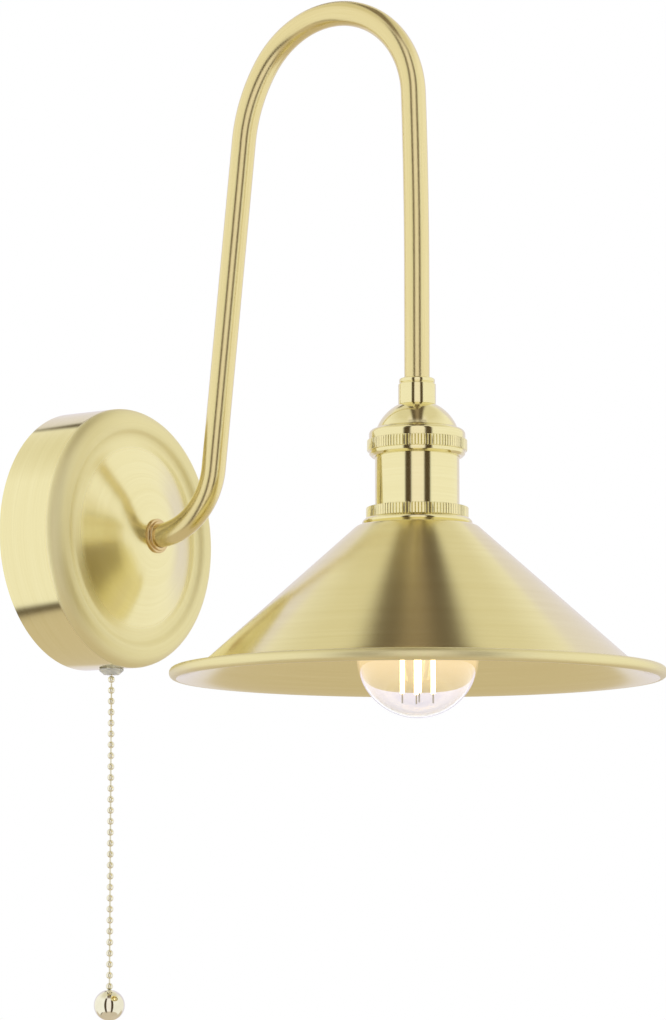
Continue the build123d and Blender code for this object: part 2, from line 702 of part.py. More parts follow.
def shade_line(offset):
    """Line of the spun sheet from its flat top to its bead, at a distance inside the outside.

    Also its ends: where the outside runs into the bead, and where the inside meets it below."""
    slope = math.radians(SHADE_SLOPE)
    edge_slope = math.radians(SHADE_EDGE_SLOPE)
    start = Vector(SHADE_TOP_DIAMETER / 2, SHADE_TOP)
    shoulder = JernArc(start, (1, 0), SHADE_SHOULDER_RADIUS, -SHADE_SLOPE)
    cone_start = shoulder @ 1
    flare_radius_at = SHADE_FLARE_DIAMETER / 2
    run = flare_radius_at - cone_start.X
    flare_start = cone_start + Vector(run, -run * math.tan(slope))
    end_radius = bead_centre_radius() - (BEAD_DIAMETER / 2 - SHADE_WALL) * math.sin(edge_slope)
    edge_run = end_radius - flare_radius_at
    flare_radius = edge_run / (math.sin(slope) - math.sin(edge_slope))
    direction = Vector(math.cos(slope), -math.sin(slope))
    normal = Vector(-math.sin(slope), -math.cos(slope)) * offset
    edge_normal = Vector(-math.sin(edge_slope), -math.cos(edge_slope)) * offset
    flare = JernArc(flare_start, direction, flare_radius, SHADE_SLOPE - SHADE_EDGE_SLOPE)
    end = flare @ 1
    top = Line(Vector(0, SHADE_TOP - offset), start + Vector(0, -offset))
    inner_shoulder = JernArc(
        start + Vector(0, -offset), (1, 0), SHADE_SHOULDER_RADIUS - offset, -SHADE_SLOPE
    )
    cone = Line(inner_shoulder @ 1, flare_start + normal)
    inner_flare = JernArc(
        flare_start + normal,
        direction,
        flare_radius + offset,
        SHADE_SLOPE - SHADE_EDGE_SLOPE,
    )
    return [top, inner_shoulder, cone, inner_flare], end, end + edge_normal


def bead_centre_radius():
    return SHADE_DIAMETER / 2 - BEAD_DIAMETER / 2


def bead_centre(inner_end):
    """The bead stands on the line of the inside, which so runs smoothly to the very edge."""
    edge_slope = math.radians(SHADE_EDGE_SLOPE)
    upwards = Vector(math.sin(edge_slope), math.cos(edge_slope))
    return inner_end + upwards * (BEAD_DIAMETER / 2)


def make_shade():
    outside, end, _ = shade_line(0)
    inside, _, inner_end = shade_line(SHADE_WALL)
    tip = Line(end, inner_end)
    axis = Line(outside[0] @ 0, inside[0] @ 0)
    edges = [e for line in (*outside, *inside, tip, axis) for e in line.edges()]
    sheet = turned_upright(make_face(edges), REACH)
    centre = bead_centre(inner_end)
    bead = turned_upright(Pos(centre.X, centre.Y) * Circle(BEAD_DIAMETER / 2), REACH)
    hole = upright_ring(
        TAIL_DIAMETER / 2 + SNUG, 0, SHADE_TOP - SHADE_WALL - 1, SHADE_TOP + 1, REACH
    )
    return sheet + bead - hole


# ---- bulb ----


def make_bulb_glass():
    """Ball and neck in one blown shell: the neck meets the ball in a hollow blend."""
    top = BULB_CAP_BOTTOM + 3.0

    def half_section(inset):
        ball = BULB_DIAMETER / 2 - inset
        neck = BULB_NECK_DIAMETER / 2 - inset
        blend = BULB_NECK_BLEND + inset
        rise = math.sqrt((ball + blend) ** 2 - (neck + blend) ** 2)
        blend_centre = Vector(neck + blend, BULB_CENTRE + rise)
        centre = Vector(0, BULB_CENTRE)
        meet = centre + (blend_centre - centre).normalized() * ball
        neck_end = Vector(neck, blend_centre.Y)
        middle = ((meet + neck_end) * 0.5 - blend_centre).normalized() * blend + blend_centre
        low = Vector(0, BULB_CENTRE - ball)
        side = Vector(ball, BULB_CENTRE)
        return [
            Line((neck, top), neck_end),
            ThreePointArc(neck_end, middle, meet),
            ThreePointArc(meet, side, low),
        ]

    outside = half_section(0)
    inside = half_section(BULB_GLASS)
    closing = [Line(outside[0] @ 0, inside[0] @ 0), Line(outside[2] @ 1, inside[2] @ 1)]
    edges = [e for line in (*outside, *inside, *closing) for e in line.edges()]
    return turned_upright(make_face(edges), REACH)


def make_bulb_cap():
    """Rolled screw cap: rounded rings stand for its thread."""
    crest = BULB_CAP_DIAMETER / 2
    root = crest - BULB_THREAD_DEPTH
    skirt = 4.2
    bore = BULB_NECK_DIAMETER / 2 + RUNNING
    points = [(bore, BULB_CAP_BOTTOM), (crest, BULB_CAP_BOTTOM), (crest, BULB_CAP_BOTTOM + skirt)]
    height = BULB_CAP_BOTTOM + skirt
    while height + BULB_THREAD_PITCH < BULB_CAP_TOP - 1:
        points.append((root, height + BULB_THREAD_PITCH * 0.25))
        points.append((root, height + BULB_THREAD_PITCH * 0.45))
        points.append((crest, height + BULB_THREAD_PITCH * 0.7))
        height += BULB_THREAD_PITCH
        points.append((crest, height))
    shoulder = BULB_TIP_DIAMETER / 2 + 3.0
    points.append((root, height + 0.4))
    points.append((shoulder, BULB_CAP_TOP))
    points.append((shoulder - 1.0, BULB_CAP_TOP))
    points.append((root - 0.6, height))
    points.append((root - 0.6, BULB_CAP_BOTTOM + skirt + 0.2))
    points.append((bore, BULB_CAP_BOTTOM + skirt - 0.6))
    return turned_upright(closed(*points), REACH)


def make_bulb_insulator():
    """Glass bead of the cap with the soldered tip on it."""
    shoulder = BULB_TIP_DIAMETER / 2 + 3.0
    tip = BULB_TIP_DIAMETER / 2
    cone_top = BULB_TOP - BULB_TIP_HEIGHT
    section = closed(
        (0, BULB_CAP_TOP),
        (shoulder, BULB_CAP_TOP),
        (tip, cone_top),
        (tip, BULB_TOP - 0.5),
        (tip - 0.8, BULB_TOP),
        (0, BULB_TOP),
    )
    return turned_upright(section, REACH)


def stem_bottom():
    return BULB_CAP_BOTTOM - STEM_LENGTH


def make_bulb_stem():
    flare = BULB_NECK_DIAMETER / 2 - BULB_GLASS - SNUG
    half = STEM_DIAMETER / 2
    top = BULB_CAP_BOTTOM + 2.0
    section = closed(
        (0, stem_bottom()),
        (half, stem_bottom()),
        (half, top - STEM_FLARE_LENGTH),
        (flare, top - 1),
        (flare, top),
        (0, top),
    )
    return turned_upright(section, REACH)


def filament_places():
    """Positions of the upright filament strips, as offsets from the lamp's axis."""
    places = []
    for number in range(FILAMENT_COUNT):
        angle = math.radians(FILAMENT_TURN + 360.0 * number / FILAMENT_COUNT)
        radius = FILAMENT_CIRCLE / 2
        places.append((radius * math.cos(angle), radius * math.sin(angle)))
    return places


FILAMENT_LOW = BULB_TOP - FILAMENT_DROP
FILAMENT_HIGH = FILAMENT_LOW + FILAMENT_LENGTH


def make_filaments():
    strips = []
    for x, y in filament_places():
        low = (x, y - REACH, FILAMENT_LOW)
        high = (x, y - REACH, FILAMENT_HIGH)
        strips.append(straight_rod(low, high, FILAMENT_DIAMETER))
    return strips


def make_bulb_wires():
    """A spoke to each strip's top, and a pin at each strip's foot."""
    wires = []
    for x, y in filament_places():
        share = STEM_DIAMETER / FILAMENT_CIRCLE * 0.6
        start = (x * share, y * share - REACH, stem_bottom())
        bend = (x * share, y * share - REACH, stem_bottom() - 1.2)
        corner = (x, y - REACH, FILAMENT_HIGH + 2.2)
        end = (x, y - REACH, FILAMENT_HIGH)
        wires.append(round_wire([start, bend, corner, end], [0.5, 0.8], WIRE_DIAMETER))
        foot = (x, y - REACH, FILAMENT_LOW)
        wires.append(straight_rod(foot, (x, y - REACH, FILAMENT_LOW - PIN_LENGTH), WIRE_DIAMETER))
    return wires


# ---- pull chain and gland ----


def make_gland():
    bore = GLAND_BORE / 2
    half = GLAND_DIAMETER / 2
    tip = GLAND_TIP_DIAMETER / 2
    edge = COVER_BOTTOM - GLAND_EDGE
    section = closed(
        (bore, GLAND_TIP),
        (tip, GLAND_TIP),
        (half, edge),
        (half, COVER_BOTTOM),
        (SPIGOT_DIAMETER / 2, COVER_BOTTOM),
        (SPIGOT_DIAMETER / 2, SWITCH_INSIDE_BOTTOM - 0.5),
        (bore, SWITCH_INSIDE_BOTTOM - 0.5),
    )
    return turned_upright(section, CHAIN_DEPTH)


def bead_edges(centre):
    """Right half of one bead, from its upper link to its lower link."""
    radius = BEAD_SIZE / 2
    link = LINK_DIAMETER / 2
    rise = math.sqrt(radius**2 - link**2)
    return ThreePointArc((link, centre + rise), (radius, centre), (link, centre - rise))


def make_top_bead():
    radius = BEAD_SIZE / 2
    arc = ThreePointArc((0, FIRST_BEAD + radius), (radius, FIRST_BEAD), (0, FIRST_BEAD - radius))
    axis = Line((0, FIRST_BEAD - radius), (0, FIRST_BEAD + radius))
    return turned_upright(make_face(arc.edges() + axis.edges()), CHAIN_DEPTH)


def make_chain():
    """Beads on their links in one turned piece, hanging from the first bead."""
    link = LINK_DIAMETER / 2
    top = FIRST_BEAD - BEAD_SIZE / 2 - LINK_GAP
    bottom = BALL_TOP - BALL_HOLE_DEPTH
    lines = [Line((0, top), (link, top))]
    corner = Vector(link, top)
    for number in range(1, BEAD_COUNT):
        bead = bead_edges(FIRST_BEAD - BEAD_PITCH * number)
        lines.append(Line(corner, bead @ 0))
        lines.append(bead)
        corner = bead @ 1
    lines.append(Line(corner, (link, bottom)))
    lines.append(Line((link, bottom), (0, bottom)))
    lines.append(Line((0, bottom), (0, top)))
    edges = [e for line in lines for e in line.edges()]
    return turned_upright(make_face(edges), CHAIN_DEPTH)


def make_end_ball():
    radius = BALL_DIAMETER / 2
    ball = Pos(0, -CHAIN_DEPTH, BALL_CENTRE) * Sphere(radius)
    low = BALL_CENTRE - radius
    nib_half = BALL_NIB_DIAMETER / 2
    ball += upright_ring(nib_half, 0, low - BALL_NIB_HEIGHT * 0.4, low + 1, CHAIN_DEPTH)
    hole = BEAD_SIZE / 2 + SNUG
    return ball - upright_ring(hole, 0, BALL_TOP - BALL_HOLE_DEPTH, BALL_TOP + 1, CHAIN_DEPTH)


# ---- pull switch ----


def switch_inside(extra=0.0):
    return block(
        -SWITCH_WIDTH_LEFT + SWITCH_WALL,
        SWITCH_WIDTH_RIGHT - SWITCH_WALL,
        SWITCH_BACK - extra,
        SWITCH_FRONT - SWITCH_WALL,
        SWITCH_INSIDE_BOTTOM,
        SWITCH_TOP - SWITCH_WALL,
    )


def blade_xs():
    """Left edges of the two contact blades, one each side of the disc."""
    gap = 2 * SNUG
    left = WHEEL_X - DISC_DIAMETER / 2 - gap - BLADE_THICKNESS
    right = WHEEL_X + DISC_DIAMETER / 2 + gap
    return left, right


def disc_depth():
    """Depth of the contact disc's rear face: it lies on the wall's side of the wheel."""
    return CHAIN_DEPTH - WHEEL_THICKNESS / 2 - 2 * SNUG - DISC_THICKNESS


def blade_box(x_low, gap):
    depth = disc_depth()
    top = SWITCH_TOP - SWITCH_WALL
    return block(
        x_low - gap,
        x_low + BLADE_THICKNESS + gap,
        depth - gap,
        depth + BLADE_WIDTH + gap,
        top - BLADE_LENGTH,
        SWITCH_TOP + gap,
    )


def make_switch_body():
    shell = block(
        -SWITCH_WIDTH_LEFT,
        SWITCH_WIDTH_RIGHT,
        SWITCH_BACK + SWITCH_WALL,
        SWITCH_FRONT,
        SWITCH_BOTTOM,
        SWITCH_TOP,
    )
    shell -= switch_inside(SWITCH_WALL)
    boss_low = SWITCH_BOTTOM - SWITCH_GAP + 0.5
    shell += upright_ring(BOSS_DIAMETER / 2, 0, boss_low, SWITCH_BOTTOM, CHAIN_DEPTH)
    spigot_top = SWITCH_INSIDE_BOTTOM - 0.5
    shell -= upright_ring(
        SPIGOT_DIAMETER / 2 + RUNNING, 0, boss_low - 1, spigot_top, CHAIN_DEPTH
    )
    shell -= upright_ring(GLAND_BORE / 2, 0, spigot_top, SWITCH_INSIDE_BOTTOM + 1, CHAIN_DEPTH)
    shell -= pin_rod(RUNNING)
    for x_low in blade_xs():
        shell -= blade_box(x_low, RUNNING)
    return shell


def make_switch_lid():
    lid = block(
        -SWITCH_WIDTH_LEFT,
        SWITCH_WIDTH_RIGHT,
        SWITCH_BACK,
        SWITCH_BACK + SWITCH_WALL,
        SWITCH_BOTTOM,
        SWITCH_TOP,
    )
    return lid - pin_rod(RUNNING)


def pin_rod(gap):
    back = SWITCH_BACK + 0.3 - gap * 8
    front = SWITCH_FRONT - 0.3 + gap * 8
    return outward_ring(PIN_DIAMETER / 2 + gap, 0, back, front, WHEEL_X, WHEEL_HEIGHT)


def make_ratchet_wheel():
    outer = WHEEL_DIAMETER / 2
    points = []
    for tooth in range(WHEEL_TEETH):
        for share, radius in ((0.0, outer), (0.75, outer - TOOTH_HEIGHT)):
            angle = 2 * math.pi * (tooth + share) / WHEEL_TEETH
            points.append((radius * math.cos(angle), radius * math.sin(angle)))
    section = closed(*points) - Circle(PIN_DIAMETER / 2 + RUNNING)
    wheel = UPRIGHT * extrude(section, WHEEL_THICKNESS / 2, both=True)
    return Pos(WHEEL_X, -CHAIN_DEPTH, WHEEL_HEIGHT) * wheel


def make_contact_disc():
    """Disc with two flats, which opens and closes the contacts a quarter turn at a time."""
    back = disc_depth()
    bore = PIN_DIAMETER / 2 + RUNNING
    disc = outward_ring(
        DISC_DIAMETER / 2, bore, back, back + DISC_THICKNESS, WHEEL_X, WHEEL_HEIGHT
    )
    for side in (-1, 1):
        cut_z = WHEEL_HEIGHT + side * DISC_DIAMETER / 2
        disc -= Pos(WHEEL_X, -back - DISC_THICKNESS / 2, cut_z) * Box(12, 6, 2.2)
    return disc


def make_pull_rod():
    half = ROD_DIAMETER / 2
    low = FIRST_BEAD + BEAD_SIZE / 2 + LINK_GAP
    neck = GLAND_TIP + 0.4
    section = closed(
        (0, low),
        (LINK_DIAMETER / 2, low),
        (LINK_DIAMETER / 2, neck + ROD_TRAVEL),
        (half, neck + ROD_TRAVEL + 0.6),
        (half, COLLAR_BOTTOM),
        (ROD_COLLAR_DIAMETER / 2, COLLAR_BOTTOM),
        (ROD_COLLAR_DIAMETER / 2, COLLAR_BOTTOM + ROD_COLLAR_HEIGHT),
        (half, COLLAR_BOTTOM + ROD_COLLAR_HEIGHT),
        (half, ROD_TOP),
        (0, ROD_TOP),
    )
    return turned_upright(section, CHAIN_DEPTH)


def make_spring():
    """Coil between the switch's floor and the rod's collar."""
    wire = SPRING_WIRE / 2
    length = SPRING_LENGTH - SPRING_WIRE - 2 * RUNNING
    radius = SPRING_DIAMETER / 2 - wire
    helix = Helix(length / SPRING_TURNS, length, radius)
    section = Plane(origin=helix @ 0, z_dir=helix % 0) * Circle(wire)
    coil = sweep(section, helix, is_frenet=True)
    return Pos(0, -CHAIN_DEPTH, SWITCH_INSIDE_BOTTOM + wire + RUNNING) * coil


def make_switch_contacts():
    """Brass posts on the switch, each in one piece with its blade beside the disc."""
    pieces = []
    for x_low in blade_xs():
        middle = x_low + BLADE_THICKNESS / 2
        depth = disc_depth()
        post = block(
            middle - POST_WIDTH / 2,
            middle + POST_WIDTH / 2,
            depth,
            depth + POST_WIDTH,
            SWITCH_TOP,
            SWITCH_TOP + POST_HEIGHT,
        )
        pieces.append(post + blade_box(x_low, 0))
    return pieces


# ---- wiring ----


def pole_xs():
    middle = (POLE_COUNT - 1) / 2
    return [(number - middle) * POLE_SPACING for number in range(POLE_COUNT)]


def make_terminal_block():
    half = BLOCK_HEIGHT / 2
    body = block(-BLOCK_WIDTH / 2, BLOCK_WIDTH / 2, BLOCK_BACK, BLOCK_FRONT, -half, half)
    centre = BLOCK_BACK + BLOCK_DEPTH / 2
    for x in pole_xs():
        body -= upright_ring(POLE_BORE / 2 + RUNNING, 0, -half - 1, half + 1, centre, x)
        for z in clamp_screw_zs():
            body -= outward_ring(
                CLAMP_SCREW_DIAMETER / 2 + SNUG, 0, centre, BLOCK_FRONT + 1, x, z
            )
    return body


def clamp_screw_zs():
    return -CLAMP_SCREW_SPACING / 2, CLAMP_SCREW_SPACING / 2


def make_terminal_sleeves():
    sleeves = []
    half = BLOCK_HEIGHT / 2 - 1.0
    centre = BLOCK_BACK + BLOCK_DEPTH / 2
    for x in pole_xs():
        sleeve = upright_ring(POLE_BORE / 2, POLE_BORE / 2 - POLE_WALL, -half, half, centre, x)
        for z in clamp_screw_zs():
            sleeve -= outward_ring(
                CLAMP_SCREW_DIAMETER / 2 + RUNNING, 0, centre, BLOCK_FRONT, x, z
            )
        sleeves.append(sleeve)
    return sleeves


def make_terminal_screws():
    screws = []
    centre = BLOCK_BACK + BLOCK_DEPTH / 2
    for x in pole_xs():
        for z in clamp_screw_zs():
            tip = centre + CORE_DIAMETER / 2 + SNUG
            screw = outward_ring(CLAMP_SCREW_DIAMETER / 2, 0, tip, BLOCK_FRONT - 1.5, x, z)
            slot = Pos(x, -(BLOCK_FRONT - 1.5), z) * Box(CLAMP_SCREW_DIAMETER + 1, 1.2, 0.6)
            screws.append(screw - slot)
    return screws


def make_arm_flex():
    """Sheathed cable through the arm, down to the insulator's top."""
    start = FACE_BACK - ARM_TAIL - 3
    end_drop = DROP_LENGTH + (ARM_END.Y - CORE_TOP)
    return tube_along_arm(start, end_drop, FLEX_DIAMETER)


def make_flex_cores():
    start = FACE_BACK - ARM_TAIL - 3
    high = BLOCK_HEIGHT / 2
    centre = BLOCK_BACK + BLOCK_DEPTH / 2
    cores = []
    for side in (-1, 1):
        x = side * POLE_SPACING
        points = [
            (side * FLEX_DIAMETER / 4, -start, 0),
            (side * FLEX_DIAMETER / 4, -start + 3.5, 0),
            (side * POLE_SPACING * 0.7, -BLOCK_FRONT - 3.5, high + 7),
            (x, -centre, high + 9),
            (x, -centre, high - 2),
        ]
        cores.append(round_wire(points, [2.0, 3.0, 2.5], CORE_DIAMETER))
    return cores


def make_switch_leads():
    low = -BLOCK_HEIGHT / 2
    centre = BLOCK_BACK + BLOCK_DEPTH / 2
    depth = disc_depth() + POST_WIDTH / 2
    leads = []
    for x_low, x_pole in zip(blade_xs(), pole_xs()):
        x = x_low + BLADE_THICKNESS / 2
        start_z = SWITCH_TOP + POST_HEIGHT
        middle_z = (start_z + low) / 2
        points = [
            (x, -depth, start_z),
            (x, -depth, start_z + 1.2),
            (x_pole, -centre, middle_z + 1.0),
            (x_pole, -centre, low + 2),
        ]
        leads.append(round_wire(points, [0.8, 0.8], CORE_DIAMETER))
    return leads


# ---- writing the pieces ----

PIECES = {
    "wall_bracket": make_bracket(),
    "cover": make_cover(),
    "cover_clip": make_cover_clip(),
    "cover_screw": make_cover_screw(),
    "earth_screw": make_earth_screw(),
    "arm": make_arm(),
    "arm_collar": make_collar(),
    "arm_washer": make_arm_washer(),
    "arm_nut": make_arm_nut(),
    "arm_flex": make_arm_flex(),
    "flex_cores": make_flex_cores(),
    "coupler": make_coupler(),
    "grub_screw": grub_cylinder(0),
    "holder_cap": make_holder_cap(),
    "holder_nut": make_holder_nut(),
    "cap_ring": make_cap_ring(),
    "holder_sleeve": make_sleeve(),
    "lock_ring": make_lock_ring(),
    "shade_flange": make_shade_flange(),
    "shade": make_shade(),
    "shade_ring": make_shade_ring(),
    "holder_core": make_core(),
    "screw_shell": make_screw_shell(),
    "centre_contact": make_centre_contact(),
    "core_screws": make_core_screws(),
    "bulb_glass": make_bulb_glass(),
    "bulb_cap": make_bulb_cap(),
    "bulb_insulator": make_bulb_insulator(),
    "bulb_stem": make_bulb_stem(),
    "bulb_filaments": make_filaments(),
    "bulb_wires": make_bulb_wires(),
    "chain_gland": make_gland(),
    "chain_top_bead": make_top_bead(),
    "bead_chain": make_chain(),
    "end_ball": make_end_ball(),
    "switch_body": make_switch_body(),
    "switch_lid": make_switch_lid(),
    "wheel_pin": pin_rod(0),
    "ratchet_wheel": make_ratchet_wheel(),
    "contact_disc": make_contact_disc(),
    "pull_rod": make_pull_rod(),
    "return_spring": make_spring(),
    "switch_contacts": make_switch_contacts(),
    "switch_leads": make_switch_leads(),
    "terminal_block": make_terminal_block(),
    "terminal_sleeves": make_terminal_sleeves(),
    "terminal_screws": make_terminal_screws(),
}

os.makedirs("parts", exist_ok=True)
for name, piece in PIECES.items():
    solids = piece if isinstance(piece, list) else [piece]
    shape = Compound(children=[solid for item in solids for solid in item.solids()])
    export_step(shape, f"parts/{name}.step")

print("lamp axis at depth", round(REACH, 2))
print("cap top", round(CAP_TOP, 2), "shade top", round(SHADE_TOP, 2))
print("bulb top", round(BULB_TOP, 2), "bulb centre", round(BULB_CENTRE, 2))
print("first bead", round(FIRST_BEAD, 2), "ball centre", round(BALL_CENTRE, 2))
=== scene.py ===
# %% [markdown]
# # A brass wall light, dressed for its portrait
#
# The light has a round cover on the wall, a bent tube that carries a lampholder, a cone shade
# with a clear bulb, and a beaded pull chain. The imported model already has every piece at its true
# size, so this script only gives it finer surfaces, finishes, light and a camera. Everything is
# in metres: the wall is the plane Y = 0, the light stands out towards -Y, and Z is up.

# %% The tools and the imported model
import math

import bmesh
import bpy
import numpy as np
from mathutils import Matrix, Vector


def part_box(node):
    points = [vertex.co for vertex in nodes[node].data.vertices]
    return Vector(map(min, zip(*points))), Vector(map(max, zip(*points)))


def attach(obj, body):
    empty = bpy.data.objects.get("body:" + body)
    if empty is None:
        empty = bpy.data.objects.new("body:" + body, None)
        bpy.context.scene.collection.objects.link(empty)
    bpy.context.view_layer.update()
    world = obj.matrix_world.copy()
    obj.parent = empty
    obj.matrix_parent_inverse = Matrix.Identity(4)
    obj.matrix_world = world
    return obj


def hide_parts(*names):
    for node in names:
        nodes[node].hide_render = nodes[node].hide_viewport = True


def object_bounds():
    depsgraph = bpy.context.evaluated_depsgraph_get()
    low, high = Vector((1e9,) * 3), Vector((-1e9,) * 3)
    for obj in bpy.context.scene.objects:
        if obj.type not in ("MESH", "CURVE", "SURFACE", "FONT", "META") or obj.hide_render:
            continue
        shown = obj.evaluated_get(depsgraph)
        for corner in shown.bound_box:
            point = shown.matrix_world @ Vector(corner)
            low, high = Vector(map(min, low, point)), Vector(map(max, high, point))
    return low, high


MM = 0.001
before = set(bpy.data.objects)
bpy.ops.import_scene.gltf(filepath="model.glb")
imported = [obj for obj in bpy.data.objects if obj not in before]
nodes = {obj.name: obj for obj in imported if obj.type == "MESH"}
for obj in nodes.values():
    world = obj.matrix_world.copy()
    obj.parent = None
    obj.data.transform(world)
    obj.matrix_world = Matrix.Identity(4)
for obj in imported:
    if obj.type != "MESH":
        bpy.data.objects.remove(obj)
model_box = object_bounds()
print("packed pieces", len(nodes))


# %% [markdown]
# ## Sizes from the model
#
# A piece can only fit if it is drawn from the same numbers as its neighbours. Most of them are read
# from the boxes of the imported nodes: half a box's width is a radius, and its two ends are heights.
# The lamp hangs on one upright line, and its distance from the wall is the middle of the shade.


# %% Radii, heights and the lamp's axis
def half_width(name):
    """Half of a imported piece's width along X, in millimetres."""
    low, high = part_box(name)
    return (high.x - low.x) / 2 / MM


def heights(name):
    """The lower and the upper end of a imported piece, in millimetres."""
    low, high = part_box(name)
    return low.z / MM, high.z / MM


def upright_axis(name):
    """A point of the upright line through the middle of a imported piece."""
    low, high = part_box(name)
    return np.array([0.0, (low.y + high.y) / 2, 0.0])


LAMP_AXIS = upright_axis("shade")
CHAIN_AXIS = upright_axis("end_ball")
WALL_AXIS = np.zeros(3)
UP = np.array([0.0, 0.0, 1.0])
OUT = np.array([0.0, -1.0, 0.0])
print("lamp axis", round(-LAMP_AXIS[1], 5), "chain axis", round(-CHAIN_AXIS[1], 5))


# %% [markdown]
# ## The camera
#
# A product picture is taken from far away with a long lens, so that the shade's ellipse stays calm.
# This camera stands a little below the shade, to the left of the light, and looks slightly up. A
# camera that looks up makes uprights lean, and a small vertical shift of the lens keeps that down.

# %% The camera's place and lens
CAMERA_PLACE = (-1.02943, -0.82329, -0.15549)
CAMERA_TURN = math.radians(-55.6763)
CAMERA_RISE = math.radians(5.5494)
LENS = 117.615
SENSOR = 36.0
LENS_SHIFT = 0.10
camera_data = bpy.data.cameras.new("camera")
camera_data.lens = LENS
camera_data.sensor_width = SENSOR
camera_data.shift_y = LENS_SHIFT
camera = bpy.data.objects.new("camera", camera_data)
bpy.context.scene.collection.objects.link(camera)
camera.location = CAMERA_PLACE
camera.rotation_euler = (math.pi / 2 + CAMERA_RISE, 0.0, CAMERA_TURN)
bpy.context.scene.camera = camera
print("camera", [round(v, 3) for v in camera.location])


# %% [markdown]
# ## Surfaces from formulas
#
# Every new piece is a grid of points worked out with numpy. A lathe piece is a flat profile carried
# round an axis, and a bent tube is a circle carried along a line. One function turns any such grid
# into a mesh. It also writes a UV map: u runs round the piece and v runs along its profile in
# metres, and the brushing of the metal follows u later on.


# %% A grid of points becomes a mesh
def surface(name, points, along):
    """Quads between neighbours of points[turn, step]. Turns and steps both close on themselves.
    along holds each step's distance on the profile, and the whole length last, for the UV map."""
    turns, steps = points.shape[:2]
    i, j = np.meshgrid(np.arange(turns), np.arange(steps), indexing="ij")
    i_next, j_next = (i + 1) % turns, (j + 1) % steps
    corners = [i * steps + j, i_next * steps + j, i_next * steps + j_next, i * steps + j_next]
    faces = np.stack(corners, axis=-1).reshape(-1, 4)
    v_low, v_high = along[j], along[j + 1]
    u_low, u_high = i / turns, (i + 1) / turns
    uv = np.stack([u_low, v_low, u_high, v_low, u_high, v_high, u_low, v_high], axis=-1)
    mesh = bpy.data.meshes.new(name)
    mesh.from_pydata(points.reshape(-1, 3), [], faces)
    layer = mesh.uv_layers.new(name="UVMap")
    layer.data.foreach_set("uv", uv.reshape(-1).astype(np.float32))
    return mesh


print("surface tool ready")


# %% [markdown]
# A lathe profile that reaches the axis makes a ring of points in one spot. Merging them closes the
# pole. Then the faces are turned outwards, and edges with a real corner are marked sharp, so that
# round places shade smoothly and steps stay crisp.


# %% The mesh becomes a finished piece
SHARP_ANGLE = math.radians(32)
MERGE_DISTANCE = 1e-6


def finished(mesh, body, stands_for, material):
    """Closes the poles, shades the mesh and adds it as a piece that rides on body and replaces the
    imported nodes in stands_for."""
    work = bmesh.new()
    work.from_mesh(mesh)
    bmesh.ops.remove_doubles(work, verts=work.verts, dist=MERGE_DISTANCE)
    bmesh.ops.recalc_face_normals(work, faces=work.faces)
    work.to_mesh(mesh)
    work.free()
    mesh.polygons.foreach_set("use_smooth", np.ones(len(mesh.polygons), dtype=bool))
    mesh.set_sharp_from_angle(angle=SHARP_ANGLE)
    mesh.materials.append(material)
    piece = bpy.data.objects.new(mesh.name, mesh)
    bpy.context.scene.collection.objects.link(piece)
    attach(piece, body)
    if stands_for:
        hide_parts(*stands_for)
    print(mesh.name, "faces", len(mesh.polygons))


def brass_piece(mesh, stands_for, material):
    """Most pieces are satin brass and never move."""
    finished(mesh, "fixture", stands_for, material)


print("edges over", round(math.degrees(SHARP_ANGLE)), "degrees stay sharp")


# %% [markdown]
# ## Profiles
#
# A turned part is drawn by its corners, as a lathe hand would sketch it, and each corner gets a
# radius. Three helpers are enough: one draws an arc round a centre, one an arc that leaves a point
# in a given direction and ends at another point, and one rounds corners.


# %% Arcs and rounded corners
ARC_POINTS = 10
STRAIGHT = 1e-4


def arc(centre, radius, first, last, count):
    """Points centre + radius x (cos a, sin a), for count angles a from first to last."""
    angle = np.linspace(first, last, count)[:, None]
    return np.array(centre, float) + radius * np.hstack([np.cos(angle), np.sin(angle)])


def arc_leaving(start, direction, end, count=ARC_POINTS):
    """Arc from start to end that leaves start along direction. Its centre lies on the normal at
    start, at distance |chord|^2 / (2 chord . normal)."""
    start, end = np.array(start, float), np.array(end, float)
    direction = np.array(direction, float) / np.linalg.norm(direction)
    normal = np.array([-direction[1], direction[0]])
    chord = end - start
    radius = (chord @ chord) / (2 * chord @ normal)
    centre = start + normal * radius
    turn = 2 * math.atan2(chord @ normal, chord @ direction)
    angle = np.linspace(0.0, turn, count)[:, None]
    spoke = start - centre
    across = np.array([-spoke[1], spoke[0]])
    return centre + spoke * np.cos(angle) + across * np.sin(angle)


def rounded(corners, radii, count=ARC_POINTS):
    """Line through the corners. Each inner corner is cut back by radius x tan(turn / 2) on both
    sides, and an arc joins the two cuts."""
    corners = np.array(corners, float)
    line = [corners[:1]]
    for before, corner, after, radius in zip(corners, corners[1:], corners[2:], radii):
        into = (corner - before) / np.linalg.norm(corner - before)
        away = (after - corner) / np.linalg.norm(after - corner)
        turn = math.acos(np.clip(into @ away, -1.0, 1.0))
        if radius > 0 and turn > STRAIGHT:
            cut = radius * math.tan(turn / 2)
            line.append(arc_leaving(corner - into * cut, into, corner + away * cut, count))
        else:
            line.append(corner[None])
    line.append(corners[-1:])
    return np.concatenate(line)


print("a rounded corner has", len(rounded([(0, 0), (1, 0), (1, 1)], [0.5])), "points")


# %% [markdown]
# The profile is then carried round its axis, as the metal turns before the tool. Three axes are in
# use: the wall's, which points out of the cover, and the uprights through the lamp and the chain.


